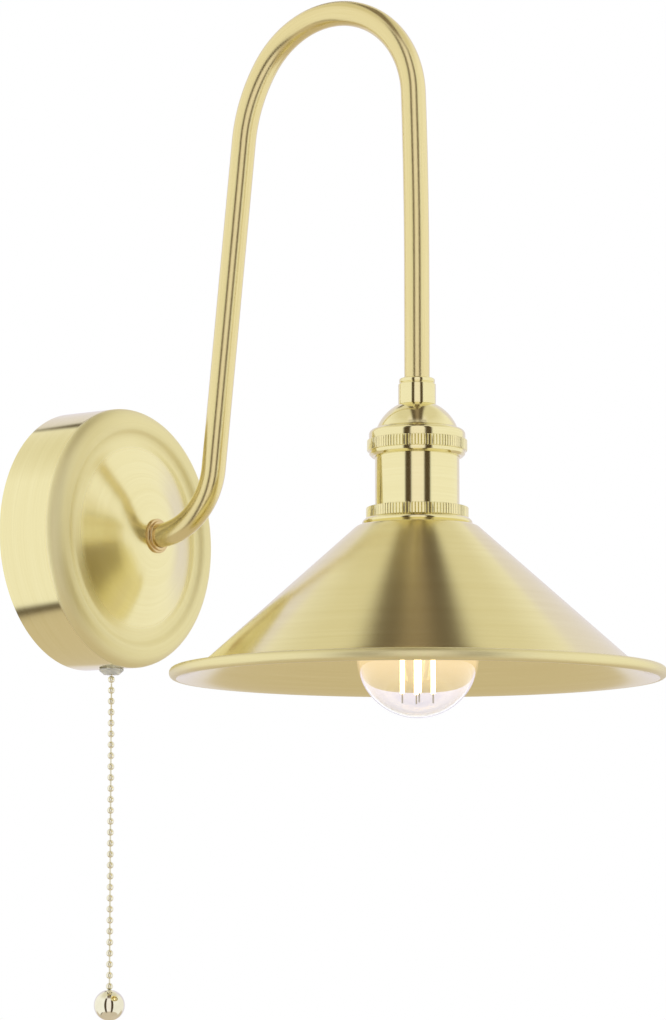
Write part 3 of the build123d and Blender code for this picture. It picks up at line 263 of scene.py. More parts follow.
# %% A profile carried round an axis
def turned(name, profile, axis_point, axis, turns, radius_wave=None):
    """Point(turn, step) = axis_point + height x axis + radius x (cos a e1 + sin a e2), where the
    profile gives radius and height in millimetres. radius_wave(a) may return a change of radius
    for each turn and step."""
    profile = np.asarray(profile, float) * MM
    profile[:, 0] = np.maximum(profile[:, 0], 0.0)
    e1 = np.array([1.0, 0.0, 0.0])
    e2 = np.cross(axis, e1)
    angle = 2 * math.pi * np.arange(turns) / turns
    radius = np.repeat(profile[None, :, 0], turns, axis=0)
    if radius_wave is not None:
        radius = radius + radius_wave(angle)
    spoke = np.cos(angle)[:, None, None] * e1 + np.sin(angle)[:, None, None] * e2
    points = axis_point + radius[..., None] * spoke + profile[None, :, 1, None] * axis
    steps = np.linalg.norm(np.diff(profile, axis=0, append=profile[:1]), axis=1)
    along = np.concatenate([[0.0], np.cumsum(steps)])
    return surface(name, points, along)


def on_wall(name, profile, turns):
    return turned(name, profile, WALL_AXIS, OUT, turns)


def on_lamp(name, profile, turns, radius_wave=None):
    return turned(name, profile, LAMP_AXIS, UP, turns, radius_wave)


def on_chain(name, profile, turns):
    return turned(name, profile, CHAIN_AXIS, UP, turns)


print("turning about", [round(float(v), 4) for v in LAMP_AXIS], "for the lamp")


# %% [markdown]
# ## Small helpers for materials
#
# Every finish below is a few nodes. These helpers add a node, set its fixed values and link it, so
# that each finish reads as a short recipe.


# %% Node helpers
def new_material(name):
    material = bpy.data.materials.new(name)
    material.use_nodes = True
    tree = material.node_tree
    shader = tree.nodes["Principled BSDF"]
    return material, tree, shader


def node(tree, kind, links=(), **settings):
    """Adds a node. links are (input, output socket) pairs, and settings are its properties."""
    made = tree.nodes.new(kind)
    for key, value in settings.items():
        setattr(made, key, value)
    for key, source in links:
        if isinstance(source, bpy.types.NodeSocket):
            tree.links.new(source, made.inputs[key])
        else:
            made.inputs[key].default_value = source
    return made


def maths(tree, operation, a, b=0.0):
    return node(tree, "ShaderNodeMath", [(0, a), (1, b)], operation=operation).outputs[0]


def times(tree, a, b):
    return maths(tree, "MULTIPLY", a, b)


def plus(tree, a, b):
    return maths(tree, "ADD", a, b)


def set_inputs(shader, **values):
    """Fixed values of the shader, with the spaces of their names written as underscores."""
    for key, value in values.items():
        shader.inputs[key.replace("_", " ")].default_value = value


print("node helpers ready")


# %% [markdown]
# A real finish varies a little everywhere. Noise gives the variation, a ramp turns it into colour,
# a range turns it into roughness, and a bump turns it into tiny hills. Most of it reads the piece's
# own Object coordinates, so that it stays on the metal when the piece moves.


# %% Noise, ramps and ranges
def object_place(tree):
    return node(tree, "ShaderNodeTexCoord").outputs["Object"]


def ramp(tree, factor, stops):
    """A colour ramp with (position, colour) stops."""
    made = node(tree, "ShaderNodeValToRGB", [("Fac", factor)])
    elements = made.color_ramp.elements
    while len(elements) < len(stops):
        elements.new(1.0)
    for element, (position, colour) in zip(elements, stops):
        element.position = position
        element.color = (*colour, 1.0)
    return made.outputs["Color"]


def spread(tree, value, low, high, first=0.0, last=1.0):
    """Maps low..high evenly to first..last, and stays at the ends beyond."""
    links = [("Value", value), ("From Min", low), ("From Max", high)]
    links += [("To Min", first), ("To Max", last)]
    return node(tree, "ShaderNodeMapRange", links).outputs["Result"]


def noise(tree, vector, scale, detail=3.0, roughness=0.55):
    links = [("Vector", vector), ("Scale", scale), ("Detail", detail), ("Roughness", roughness)]
    return node(tree, "ShaderNodeTexNoise", links).outputs["Fac"]


def bump(tree, height, strength, distance):
    links = [("Height", height), ("Strength", strength), ("Distance", distance)]
    return node(tree, "ShaderNodeBump", links).outputs["Normal"]


print("texture helpers ready")


# %% [markdown]
# ## Satin brass
#
# The cover, holder and shade were spun on a lathe, polished while they turned and lacquered. What
# is left of the tool is very faint: it runs round the axis, and the eye sees it only as a soft
# spread of the light. Two things make that look. The colour, roughness and a slight bump follow
# noise that is stretched round the axis. And the shader is a little anisotropic: light spreads
# across the lines and stays sharp along them, which gives upright streaks on the holder and a fan
# on the cover.
#
# The noise reads Object coordinates. Its third value is the height less the distance from the axis,
# taken very finely, and the first two are taken coarsely, so there is no seam.

# %% Lines round an axis
ACROSS_LINES = 2600.0
ALONG_LINES = 22.0


def split_up(tree, vector):
    """The three values of a vector."""
    return node(tree, "ShaderNodeSeparateXYZ", [(0, vector)]).outputs


def joined(tree, *values):
    return node(tree, "ShaderNodeCombineXYZ", enumerate(values)).outputs[0]


def length(tree, a, b):
    """sqrt(a^2 + b^2)"""
    return maths(tree, "SQRT", plus(tree, times(tree, a, a), times(tree, b, b)))


def turned_lines(tree, axis_point, upright):
    """Coordinates whose noise makes rings about the axis: (x, y, height - radius), each scaled."""
    shifting = [("Vector", object_place(tree)), ("Location", tuple(-axis_point))]
    shift = node(tree, "ShaderNodeMapping", shifting).outputs[0]
    x, y, z = split_up(tree, shift)
    a, b, height = (x, y, z) if upright else (x, z, y)
    radius = length(tree, a, b)
    level = maths(tree, "SUBTRACT" if upright else "ADD", height, radius)
    coarse = (times(tree, a, ALONG_LINES), times(tree, b, ALONG_LINES))
    return joined(tree, *coarse, times(tree, level, ACROSS_LINES))


def round_the_lamp(tree):
    return turned_lines(tree, LAMP_AXIS, True)


def round_the_cover(tree):
    return turned_lines(tree, WALL_AXIS, False)


print("one line every", round(1 / ACROSS_LINES / MM, 2), "mm or so")


# %% Satin brass with lines
FINE_SHARE = 0.55
BROAD_SCALE = 0.06
LINE_DEPTH = 0.00004
ACROSS_TANGENT = 0.25


def satin_brass(name, lines, tones, rough, anisotropic, bump_strength, softer=None):
    """Metal whose lines come from lines(tree), a function that returns stretched coordinates.
    tones and rough are each a low and a high end. softer(tree) may return a roughness to add
    where the piece was rubbed down more."""
    material, tree, shader = new_material(name)
    vector = lines(tree)
    fine = noise(tree, vector, 1.0, 4.0, 0.6)
    broad = noise(tree, vector, BROAD_SCALE, 2.0, 0.5)
    mixed = plus(tree, times(tree, fine, FINE_SHARE), times(tree, broad, 1 - FINE_SHARE))
    colour = ramp(tree, mixed, [(0.36, tones[0]), (0.62, tones[1])])
    roughness = spread(tree, mixed, 0.0, 1.0, *rough)
    if softer is not None:
        roughness = plus(tree, roughness, softer(tree))
    tree.links.new(colour, shader.inputs["Base Color"])
    tree.links.new(roughness, shader.inputs["Roughness"])
    tree.links.new(bump(tree, fine, bump_strength, LINE_DEPTH), shader.inputs["Normal"])
    set_inputs(shader, Metallic=1.0, Anisotropic=anisotropic, Anisotropic_Rotation=ACROSS_TANGENT)
    tangent = node(tree, "ShaderNodeTangent", direction_type="UV_MAP", uv_map="UVMap")
    tree.links.new(tangent.outputs[0], shader.inputs["Tangent"])
    return material


print("bump of the lines", LINE_DEPTH / MM, "mm")


# %% [markdown]
# The front of the cover was rubbed down more than its side. Its rolled rim and its trough spread
# the light widely, its dome less so, and the side keeps the shine of the lampholder.


# %% Brass of the lamp, the shade and the cover
RIM_RANGE = (34 * MM, 40 * MM)
FRONT_RANGE = (22 * MM, 24 * MM)
RIM_SOFTER = 0.34
FRONT_SOFTER = 0.08


def softer_front(tree):
    """Extra roughness: front x (rim x RIM_SOFTER + FRONT_SOFTER). rim goes from 0 to 1 with the
    distance from the axis, and front with the depth."""
    x, y, z = split_up(tree, object_place(tree))
    rim = spread(tree, length(tree, x, z), *RIM_RANGE)
    front = spread(tree, times(tree, y, -1.0), *FRONT_RANGE)
    return times(tree, front, plus(tree, times(tree, rim, RIM_SOFTER), FRONT_SOFTER))


LAMP_TONES = [(0.84, 0.765, 0.44), (0.88, 0.815, 0.50)]
SHADE_TONES = [(0.83, 0.75, 0.43), (0.87, 0.80, 0.485)]
lamp_brass = satin_brass(
    "brass_turned_upright", round_the_lamp, LAMP_TONES, (0.10, 0.15), 0.35, 0.02
)
shade_brass = satin_brass(
    "brass_spun_shade", round_the_lamp, SHADE_TONES, (0.16, 0.22), 0.40, 0.03
)
bead_brass = satin_brass(
    "brass_rolled_bead", round_the_lamp, SHADE_TONES, (0.38, 0.44), 0.30, 0.02
)
cover_brass = satin_brass(
    "brass_spun_cover", round_the_cover, LAMP_TONES, (0.09, 0.13), 0.35, 0.02, softer_front
)
print("turned brass", lamp_brass.name, shade_brass.name, bead_brass.name, cover_brass.name)


# %% [markdown]
# The arm is a drawn tube. It was polished along its length, so its lines run from end to end, and
# they follow the bends. Here the UV map helps: u goes round the tube and v along it. A point on a
# circle made from u has no seam, and v is taken coarsely.


# %% Lines along the bent tube
ROUND_THE_TUBE = 14.0
DOWN_THE_TUBE = 30.0


def lengthwise_lines(tree):
    """Coordinates (cos 2 pi u, sin 2 pi u, v), where the first two are taken finely."""
    u, v, _ = split_up(tree, node(tree, "ShaderNodeUVMap", uv_map="UVMap").outputs[0])
    angle = times(tree, u, 2 * math.pi)
    across = times(tree, maths(tree, "COSINE", angle), ROUND_THE_TUBE)
    upwards = times(tree, maths(tree, "SINE", angle), ROUND_THE_TUBE)
    return joined(tree, across, upwards, times(tree, v, DOWN_THE_TUBE))


TUBE_TONES = [(0.78, 0.67, 0.35), (0.84, 0.745, 0.425)]
COLLAR_TONES = [(0.66, 0.49, 0.26), (0.74, 0.58, 0.33)]
tube_brass = satin_brass(
    "brass_drawn_tube", lengthwise_lines, TUBE_TONES, (0.22, 0.27), 0.0, 0.02
)
collar_brass = satin_brass(
    "brass_collar", round_the_cover, COLLAR_TONES, (0.10, 0.16), 0.2, 0.03
)
print("tube brass", tube_brass.name, collar_brass.name)

# %% [markdown]
# ## The cover on the wall
#
# The cover is a spun cup. Its side runs straight out from the wall, its rim is rolled over, then
# the sheet dips into a shallow trough and rises in a low dome to the collar. Outer and inner
# lines are the same corners, one sheet apart, and the two together are a closed profile.

# %% Cover
COVER_RADIUS = half_width("cover")
COVER_SHEET = 1.0
COVER_FACE = -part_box("cover")[0].y / MM
COVER_RIM = COVER_FACE - 8.5
COVER_EDGE_RADIUS = 5.6
COVER_CREST = COVER_RADIUS - 7.8
COVER_TROUGH = COVER_CREST - 3.4
TROUGH_LEVEL = COVER_RIM - 2.6
DOME_CORNER = 18.0
DOME_SHARE = 0.74
COLLAR_SEAT = 7.5
ARM_HOLE = 4.9


def cover_line(inset):
    """From the wall out, over the rim, through the trough and up the dome to the arm's hole."""
    dome_level = TROUGH_LEVEL + DOME_SHARE * (COVER_FACE - TROUGH_LEVEL)
    corners = [
        (COVER_RADIUS - inset, 0.0),
        (COVER_RADIUS - inset, COVER_RIM - inset),
        (COVER_CREST, COVER_RIM - inset),
        (COVER_TROUGH, TROUGH_LEVEL - inset),
        (DOME_CORNER, dome_level - inset),
        (COLLAR_SEAT, COVER_FACE - inset),
        (ARM_HOLE, COVER_FACE - inset),
    ]
    return rounded(corners, [COVER_EDGE_RADIUS - inset, 4.0, 4.2, 80.0, 0.0], count=16)


cover_profile = np.concatenate([cover_line(0.0), cover_line(COVER_SHEET)[::-1]])
brass_piece(on_wall("cover_spun", cover_profile, 256), ["cover"], cover_brass)

# %% [markdown]
# ## The arm
#
# The arm is one bent tube. Its centre line is a chain of straight runs and arcs that touch, in the
# plane X = 0: out of the wall, a tight elbow, a long leaning leg, and an arch that comes down
# plumb over the shade. The line is computed step by step, and a circle is carried along it.

# %% Centre line of the arm
ARM_START = 28.0
ARM_OUT = 37.1
ARM_RUNS = [
    ("line", ARM_OUT - ARM_START),
    ("arc", 27.6, 83.7),
    ("line", 127.6),
    ("arc", 60.6, -28.3),
    ("arc", 37.35, -143.25),
    ("arc", 1860.0, -2.15),
    ("line", 55.8),
]
ARM_RADIUS = 4.7
ARM_BORE = 3.7
STEP_MM = 1.5


def arm_path():
    """Points (depth, height) of the centre line. A run of kind line has a length, and an arc has
    a radius and the angle it turns, in degrees."""
    place, heading, line = np.array([ARM_START, 0.0]), 0.0, []
    for kind, size, *turn in ARM_RUNS:
        ahead = np.array([math.cos(heading), math.sin(heading)])
        if kind == "line":
            share = np.linspace(0.0, 1.0, max(2, int(size / STEP_MM)))[:, None]
            part = place + ahead * size * share
        else:
            bend = math.radians(turn[0])
            side = math.copysign(1.0, bend)
            count = max(3, int(abs(bend) * size / STEP_MM))
            angle = (heading + np.linspace(0.0, bend, count))[:, None]
            centre = place + side * size * np.array([-ahead[1], ahead[0]])
            part = centre + side * size * np.hstack([np.sin(angle), -np.cos(angle)])
            heading += bend
        line.append(part if not line else part[1:])
        place = part[-1]
    return np.concatenate(line)


centre_line = arm_path()
print("arm ends at depth", centre_line[-1][0].round(3), "lamp axis", round(-LAMP_AXIS[1] / MM, 3))


# %% Tube round the centre line
def tube(name, line, outer, inner, turns=64):
    """Circles of the outer radius along the line, then circles of the bore back again: a closed
    wall. Each circle is radius x (cos a X + sin a n), where n is the line's normal in its plane."""
    ahead = np.gradient(line, axis=0)
    ahead /= np.linalg.norm(ahead, axis=1)[:, None]
    ahead[0], ahead[-1] = (1.0, 0.0), (0.0, -1.0)
    there_and_back = np.concatenate([np.arange(len(line)), np.arange(len(line))[::-1]])
    radius = np.concatenate([np.full(len(line), outer), np.full(len(line), inner)])
    spot, forward = line[there_and_back], ahead[there_and_back]
    angle = 2 * math.pi * np.arange(turns)[:, None] / turns
    x = radius * np.cos(angle)
    depth = spot[:, 0] - radius * np.sin(angle) * forward[:, 1]
    height = spot[:, 1] + radius * np.sin(angle) * forward[:, 0]
    points = np.stack([x, -depth, height], axis=-1) * MM
    steps = np.linalg.norm(np.diff(spot, axis=0, append=spot[:1]), axis=1) * MM
    return surface(name, points, np.concatenate([[0.0], np.cumsum(steps)]))


brass_piece(tube("arm_tube", centre_line, ARM_RADIUS, ARM_BORE), ["arm"], tube_brass)

# %% [markdown]
# ## Collar and coupler
#
# Where the tube leaves the cover it wears a thin stepped collar, and where it enters the lampholder
# a short sleeve with a lip. Both are plain lathe work. Their edges are slightly rounded, because a
# broken edge is what catches the light on a real part.

# %% Collar
TUBE_CLEAR = 4.75
COLLAR_FOOT = 6.75
COLLAR_NECK = 5.8
COLLAR_STEP = COVER_FACE + 1.1
COLLAR_END = COVER_FACE + 2.0
collar_profile = rounded(
    [
        (TUBE_CLEAR, COVER_FACE),
        (COLLAR_FOOT, COVER_FACE),
        (COLLAR_FOOT, COLLAR_STEP),
        (COLLAR_NECK, COLLAR_STEP),
        (COLLAR_NECK, COLLAR_END),
        (TUBE_CLEAR, COLLAR_END),
    ],
    [0.25, 0.35, 0.15, 0.3],
    count=6,
)
brass_piece(on_wall("collar_turned", collar_profile, 128), ["arm_collar"], collar_brass)

# %% Coupler
COUPLER_LOW, COUPLER_HIGH = heights("coupler")
COUPLER_RADIUS = half_width("coupler")
COUPLER_NECK = 6.65
COUPLER_GROOVE = 6.4
coupler_profile = rounded(
    [
        (TUBE_CLEAR, COUPLER_LOW),
        (COUPLER_RADIUS, COUPLER_LOW),
        (COUPLER_RADIUS, COUPLER_HIGH - 2.2),
        (COUPLER_GROOVE, COUPLER_HIGH - 1.95),
        (COUPLER_GROOVE, COUPLER_HIGH - 1.7),
        (COUPLER_NECK, COUPLER_HIGH - 1.5),
        (COUPLER_NECK, COUPLER_HIGH),
        (TUBE_CLEAR, COUPLER_HIGH),
    ],
    [0.1, 0.25, 0.08, 0.08, 0.3, 0.6],
    count=6,
)
brass_piece(on_lamp("coupler_turned", coupler_profile, 128), ["coupler"], lamp_brass)

# %% [markdown]
# ## The lampholder
#
# From the top the holder is a domed cap with a flared foot, a fluted ring with a smooth lip, a
# plain cylinder, a second fluted ring and a round-edged washer. The cap's dome is one arc down to
# its waist, and below that its side flares out to the foot. The inside follows the outside, one
# sheet away, up to a thick top.

# %% Domed cap
CAP_LOW, CAP_HIGH = heights("holder_cap")
CAP_FOOT = half_width("holder_cap")
CAP_DOME = 14.8
CAP_WAIST = CAP_HIGH - 8.3
CAP_TOP = 7.0
CAP_HOLE = 4.8
CAP_WALL = 1.2
CAP_CEILING = CAP_HIGH - 2.6
DOME_LEAN = 0.42


def cap_side(inset):
    """The dome is one arc that leaves the waist upwards and inwards. Below the waist the side goes
    on along the same line, and then out to the foot."""
    waist = (CAP_DOME - inset, CAP_WAIST)
    top = (CAP_TOP - inset, CAP_HIGH - inset)
    dome = arc_leaving(waist, (-DOME_LEAN, 1.0), top, count=24)[::-1]
    corners = [
        waist,
        (waist[0] + DOME_LEAN * (0.7 + inset), CAP_WAIST - 0.7 - inset),
        (CAP_FOOT - inset, CAP_WAIST - 1.5 - inset),
        (CAP_FOOT - inset, CAP_LOW),
    ]
    return np.concatenate([dome, rounded(corners, [0.7, 2.0 - inset])[1:]])


inside = cap_side(CAP_WALL)[::-1]
inside = inside[inside[:, 1] < CAP_CEILING]
under_top = [(inside[-1][0] - 0.6, CAP_CEILING), (CAP_HOLE, CAP_CEILING)]
cap_profile = np.concatenate([[(CAP_HOLE, CAP_HIGH)], cap_side(0.0), inside, under_top])
brass_piece(on_lamp("cap_domed", cap_profile, 224), ["holder_cap"], lamp_brass)

# %% [markdown]
# The flutes of a ring are a wave round its rim: flat crests with narrow V grooves between them. A
# hundred grooves in a ring of a hundred and sixteen millimetres are more than a bump should carry,
# because they cut the outline, so they are real geometry: eight points to a groove.

# %% Fluted rings
FLUTES = 100
POINTS_PER_FLUTE = 8
FLUTE_DEPTH = 0.42
GROOVE_SHARE = 0.36
RING_EDGE = 0.4
LIP_RADIUS = 17.8
LIP_BEVEL = 0.9


def flute_wave(deep_steps):
    """Radius change: 0 on a crest and -depth at the bottom of a V that fills the middle 0.36 of
    each pitch. deep_steps is 1 where the profile is fluted and 0 where it is smooth."""

    def wave(angle):
        share = (angle * FLUTES / (2 * math.pi)) % 1.0
        groove = np.clip(1.0 - np.abs(share - 0.5) / (GROOVE_SHARE / 2), 0.0, 1.0)
        return -FLUTE_DEPTH * MM * groove[:, None] * np.asarray(deep_steps)[None, :]

    return wave


def ring_outline(bore, rim, low, high):
    """Closed section of a ring with broken edges, and which of its points carry the flutes."""
    bevel, cut = RING_EDGE, RING_EDGE * 0.3
    line = [
        (bore, low), (rim - bevel, low), (rim - cut, low + cut), (rim, low + bevel),
        (rim, high - bevel), (rim - cut, high - cut), (rim - bevel, high), (bore, high),
    ]
    return line, [0, 0, 0.8, 1, 1, 0.8, 0, 0]


def fluted_ring(name, source, body, bore, lip=0.0):
    """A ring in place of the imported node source. lip is the height of a smooth part below it."""
    low, high = heights(source)
    rim = half_width(source)
    line, deep = ring_outline(bore, rim, low + lip, high)
    if lip:
        corners = [
            (bore, low),
            (LIP_RADIUS - LIP_BEVEL, low),
            (LIP_RADIUS, low + LIP_BEVEL),
            (LIP_RADIUS, low + lip),
            (rim - RING_EDGE, low + lip),
        ]
        smooth = rounded(corners, [0.3, 0.3, 0.0], count=5)
        line, deep = [*smooth, *line[2:]], [0] * len(smooth) + deep[2:]
    mesh = on_lamp(name, line, FLUTES * POINTS_PER_FLUTE, flute_wave(deep))
    finished(mesh, body, [source], lamp_brass)


CAP_RING_BORE = 15.7
THREAD_BORE = 14.05
fluted_ring("cap_ring_fluted", "cap_ring", "fixture", CAP_RING_BORE, lip=2.1)
fluted_ring("lock_ring_fluted", "lock_ring", "lock_ring", THREAD_BORE)
fluted_ring("shade_ring_fluted", "shade_ring", "shade_ring", THREAD_BORE)

# %% [markdown]
# Between the rings the holder is a plain sleeve. Below the lower ring it is a little narrower,
# where the rings' thread is cut on the real part. The thread is hidden, so a plain tail stands in.

# %% Plain cylinder of the holder and its tail
SLEEVE_LOW, SLEEVE_HIGH = heights("holder_sleeve")
SLEEVE_RADIUS = half_width("holder_sleeve")
SLEEVE_STEP = heights("lock_ring")[1]
SLEEVE_WALL = 1.2
TAIL_RADIUS = 14.0
sleeve_profile = [
    (TAIL_RADIUS, SLEEVE_LOW),
    (TAIL_RADIUS, SLEEVE_STEP),
    (SLEEVE_RADIUS, SLEEVE_STEP),
    (SLEEVE_RADIUS, SLEEVE_HIGH),
    (SLEEVE_RADIUS - SLEEVE_WALL, SLEEVE_HIGH),
    (SLEEVE_RADIUS - SLEEVE_WALL, SLEEVE_STEP + SLEEVE_WALL),
    (TAIL_RADIUS - SLEEVE_WALL, SLEEVE_STEP + SLEEVE_WALL),
    (TAIL_RADIUS - SLEEVE_WALL, SLEEVE_LOW),
]
brass_piece(on_lamp("sleeve_turned", sleeve_profile, 224), ["holder_sleeve"], lamp_brass)

# %% [markdown]
# The washer spreads the ring's pressure on the thin sheet of the shade. Two soft corners draw its
# round edge, and they give it one bright line.

# %% Round-edged washer above the shade
FLANGE_LOW, FLANGE_HIGH = heights("shade_flange")
FLANGE_RADIUS = half_width("shade_flange")
SHADE_HOLE = 14.1
flange_side = rounded(
    [
        (FLANGE_RADIUS - 0.5, FLANGE_LOW),
        (FLANGE_RADIUS, FLANGE_LOW + 1.0),
        (FLANGE_RADIUS - 0.3, FLANGE_LOW + 1.7),
        (FLANGE_RADIUS - 1.2, FLANGE_HIGH),
    ],
    [0.6, 0.9],
    count=8,
)
flange_profile = [(SHADE_HOLE, FLANGE_LOW), *flange_side, (SHADE_HOLE, FLANGE_HIGH)]
brass_piece(on_lamp("flange_turned", flange_profile, 224), ["shade_flange"], lamp_brass)

# %% [markdown]
# ## The shade
#
# The shade is a spun cone of one millimetre sheet. It leaves the flat top in a small arc, runs
# straight at forty-two degrees, and flattens near its edge, which is rolled up and outwards into a
# bead. The bead is a torus of its own that stands on the line of the inside, so that the inside
# runs smoothly to the very edge.

# %% Cone with its flare
SHADE_TOP = heights("shade")[1]
SHADE_RIM = half_width("shade")
SHADE_SHEET = 1.0
SLOPE = math.radians(41.9)
EDGE_SLOPE = math.radians(11.0)
BEAD_RADIUS = 2.2
FLARE_START = 79.5
SHOULDER = 4.0
SHADE_FLAT = 20.65


def shade_line(offset):
    """Top, shoulder arc, cone and flare arc, moved inwards by offset along their own normals."""
    shoulder_angle = np.linspace(0.0, SLOPE, 10)[:, None]
    spoke = np.hstack([np.sin(shoulder_angle), np.cos(shoulder_angle)])
    shoulder_centre = np.array([SHADE_FLAT, SHADE_TOP - SHOULDER])
    shoulder = shoulder_centre + (SHOULDER - offset) * spoke
    cone_start = shoulder_centre + SHOULDER * spoke[-1]
    flare_point = cone_start + (FLARE_START - cone_start[0]) * np.array([1.0, -math.tan(SLOPE)])
    end_radius = SHADE_RIM - BEAD_RADIUS - (BEAD_RADIUS - SHADE_SHEET) * math.sin(EDGE_SLOPE)
    run = end_radius - FLARE_START
    flare_radius = run / (math.sin(SLOPE) - math.sin(EDGE_SLOPE))
    centre = flare_point + flare_radius * np.array([math.sin(SLOPE), math.cos(SLOPE)])
    angle = np.linspace(SLOPE, EDGE_SLOPE, 12)[:, None]
    flare = centre - (flare_radius + offset) * np.hstack([np.sin(angle), np.cos(angle)])
    share = np.linspace(0.0, 1.0, 30)[1:-1, None]
    cone = shoulder[-1] * (1 - share) + flare[0] * share
    return np.concatenate([[(SHADE_HOLE, SHADE_TOP - offset)], shoulder, cone, flare])


outside, inner = shade_line(0.0), shade_line(SHADE_SHEET)
brass_piece(
    on_lamp("shade_spun", np.concatenate([outside, inner[::-1]]), 320), ["shade"], shade_brass
)

# %% [markdown]
# The edge of a spun shade is rolled over to make it stiff and safe to touch. The roll could be part
# of the cone's profile, but as a torus of its own it keeps even faces, and it can be duller.

# %% Rolled bead of the shade
bead_centre = inner[-1] + BEAD_RADIUS * np.array([math.sin(EDGE_SLOPE), math.cos(EDGE_SLOPE)])
bead_profile = arc(bead_centre, BEAD_RADIUS, 0.0, 2 * math.pi, 25)[:-1]
brass_piece(on_lamp("shade_bead", bead_profile, 320), [], bead_brass)
print("bead centre", bead_centre.round(2))

# %% [markdown]
# ## The bulb
#
# The bulb is a clear golf ball: a sphere that flows into a narrow neck through a hollow arc. Real
# glass has a wall, and only a wall gives the double outline of a real bulb, so outer and inner
# surfaces are both there. The glass shader bends light, and a soft warm glow painted into the glass
# near the glowing strips stands for the bloom that a camera sees round them.

# %% Clear glass
BALL_RADIUS = half_width("bulb_glass")
BULB_LOW, NECK_TOP = heights("bulb_glass")
BALL_CENTRE = BULB_LOW + BALL_RADIUS
NECK_RADIUS = 6.5
NECK_BLEND = 12.0
GLASS_WALL = 0.7
PAINTED_GLOW_RANGE = ((BALL_CENTRE - 18.0) * MM, (BALL_CENTRE - 2.0) * MM)
PAINTED_GLOW_STRENGTH = 0.10


def bulb_line(inset):
    """Neck, blend arc and ball. The blend's centre is level with the neck's end, and its radius
    adds to the ball's and the neck's: rise = sqrt((ball + blend)^2 - (neck + blend)^2)."""
    ball, neck, blend = BALL_RADIUS - inset, NECK_RADIUS - inset, NECK_BLEND + inset
    rise = math.sqrt((ball + blend) ** 2 - (neck + blend) ** 2)
    low = math.asin(rise / (ball + blend))
    hollow = arc((neck + blend, BALL_CENTRE + rise), blend, math.pi, math.pi + low, 16)
    round_part = arc((0.0, BALL_CENTRE), ball, low, -math.pi / 2, 56)[1:]
    return np.concatenate([[(neck, NECK_TOP)], hollow, round_part])


def clear_glass():
    """Clear glass. A painted warm glow sets in near its bottom and is full from its middle up."""
    material, tree, shader = new_material("glass_clear")
    place = object_place(tree)
    # Painted glow: the glass itself gives off warm light from its middle up, standing in for bloom
    # round the strips.
    painted_glow = spread(tree, split_up(tree, place)[2], *PAINTED_GLOW_RANGE, last=PAINTED_GLOW_STRENGTH)
    tree.links.new(painted_glow, shader.inputs["Emission Strength"])
    ripple = noise(tree, place, 60.0, 1.0)
    tree.links.new(spread(tree, ripple, 0.0, 1.0, 0.0, 0.012), shader.inputs["Roughness"])
    set_inputs(shader, Base_Color=(0.99, 0.99, 0.985, 1.0), Emission_Color=(1.0, 0.70, 0.42, 1.0))
    set_inputs(shader, Transmission_Weight=1.0, IOR=1.47)
    return material


glass = clear_glass()
bulb_profile = np.concatenate([bulb_line(0.0), bulb_line(GLASS_WALL)[::-1]])
finished(on_lamp("bulb_ball", bulb_profile, 160), "bulb", ["bulb_glass"], glass)

# %% [markdown]
# Inside hang four glowing strips, coated rods with a bare metal pin at each end. Their light is
# bright enough to clip to white in the middle and warm at the edge, as in a photograph.


# %% Glowing strips
def glowing_coat():
    material, tree, shader = new_material("coat_glowing")
    place = object_place(tree)
    speckle = noise(tree, place, 1400.0, 2.0)
    colour = ramp(tree, speckle, [(0.3, (1.0, 0.70, 0.30)), (0.7, (1.0, 0.84, 0.52))])
    tree.links.new(colour, shader.inputs["Base Color"])
    tree.links.new(colour, shader.inputs["Emission Color"])
    tree.links.new(spread(tree, speckle, 0.0, 1.0, 3.4, 4.6), shader.inputs["Emission Strength"])
    set_inputs(shader, Roughness=0.6)
    return material


STRIP_RADIUS = 0.85
STRIP_COUNT = 4
STRIP_TURN = math.radians(38.0)
STRIP_CIRCLE = (half_width("bulb_filaments") - STRIP_RADIUS) / math.cos(STRIP_TURN)
strip_low, strip_high = heights("bulb_filaments")
strip_profile = rounded(
    [(0.0, strip_low), (STRIP_RADIUS, strip_low), (STRIP_RADIUS, strip_high), (0.0, strip_high)],
    [0.4, 0.4],
    count=6,
)
strip_coat = glowing_coat()
for number in range(STRIP_COUNT):
    turn = STRIP_TURN + 2 * math.pi * number / STRIP_COUNT
    foot = LAMP_AXIS + STRIP_CIRCLE * MM * np.array([math.cos(turn), math.sin(turn), 0.0])
    mesh = turned(f"strip_{number + 1}", strip_profile, foot, UP, 20)
    stands_for = ["bulb_filaments"] if number == 0 else []
    finished(mesh, "bulb", stands_for, strip_coat)

# %% [markdown]
# ## The pull chain
#
# The chain is a row of hollow beads on short links. One long lathe profile makes all of it: each
# bead is an arc from link to link, and the whole line is turned once. The first bead is apart,
# because the chain swings under it, and the ball at the end has a small hole and a nib.

# %% Polished brass
def clouded(name, tones, rough, scale, detail=3.0, blur=0.55, ends=(0.35, 0.65)):
    """A material whose colour and roughness drift with one noise, from the first tone to the
    second. The tree, the shader and the noise come with it."""
    material, tree, shader = new_material(name)
    cloud = noise(tree, object_place(tree), scale, detail, blur)
    tree.links.new(ramp(tree, cloud, list(zip(ends, tones))), shader.inputs["Base Color"])
    tree.links.new(spread(tree, cloud, 0.0, 1.0, *rough), shader.inputs["Roughness"])
    return material, tree, shader, cloud


def polished_brass():
    tones = [(0.82, 0.79, 0.64), (0.90, 0.875, 0.74)]
    material, _, shader, _ = clouded("brass_polished", tones, (0.035, 0.09), 260.0)
    set_inputs(shader, Metallic=1.0)
    return material


polish = polished_brass()
print("polish", polish.name)

# %% Beads
BEAD_HALF = half_width("chain_top_bead")
LINK_HALF = 0.35
BEAD_PITCH = 4.28
FIRST_BEAD = sum(heights("chain_top_bead")) / 2
BEADS_BELOW = 28


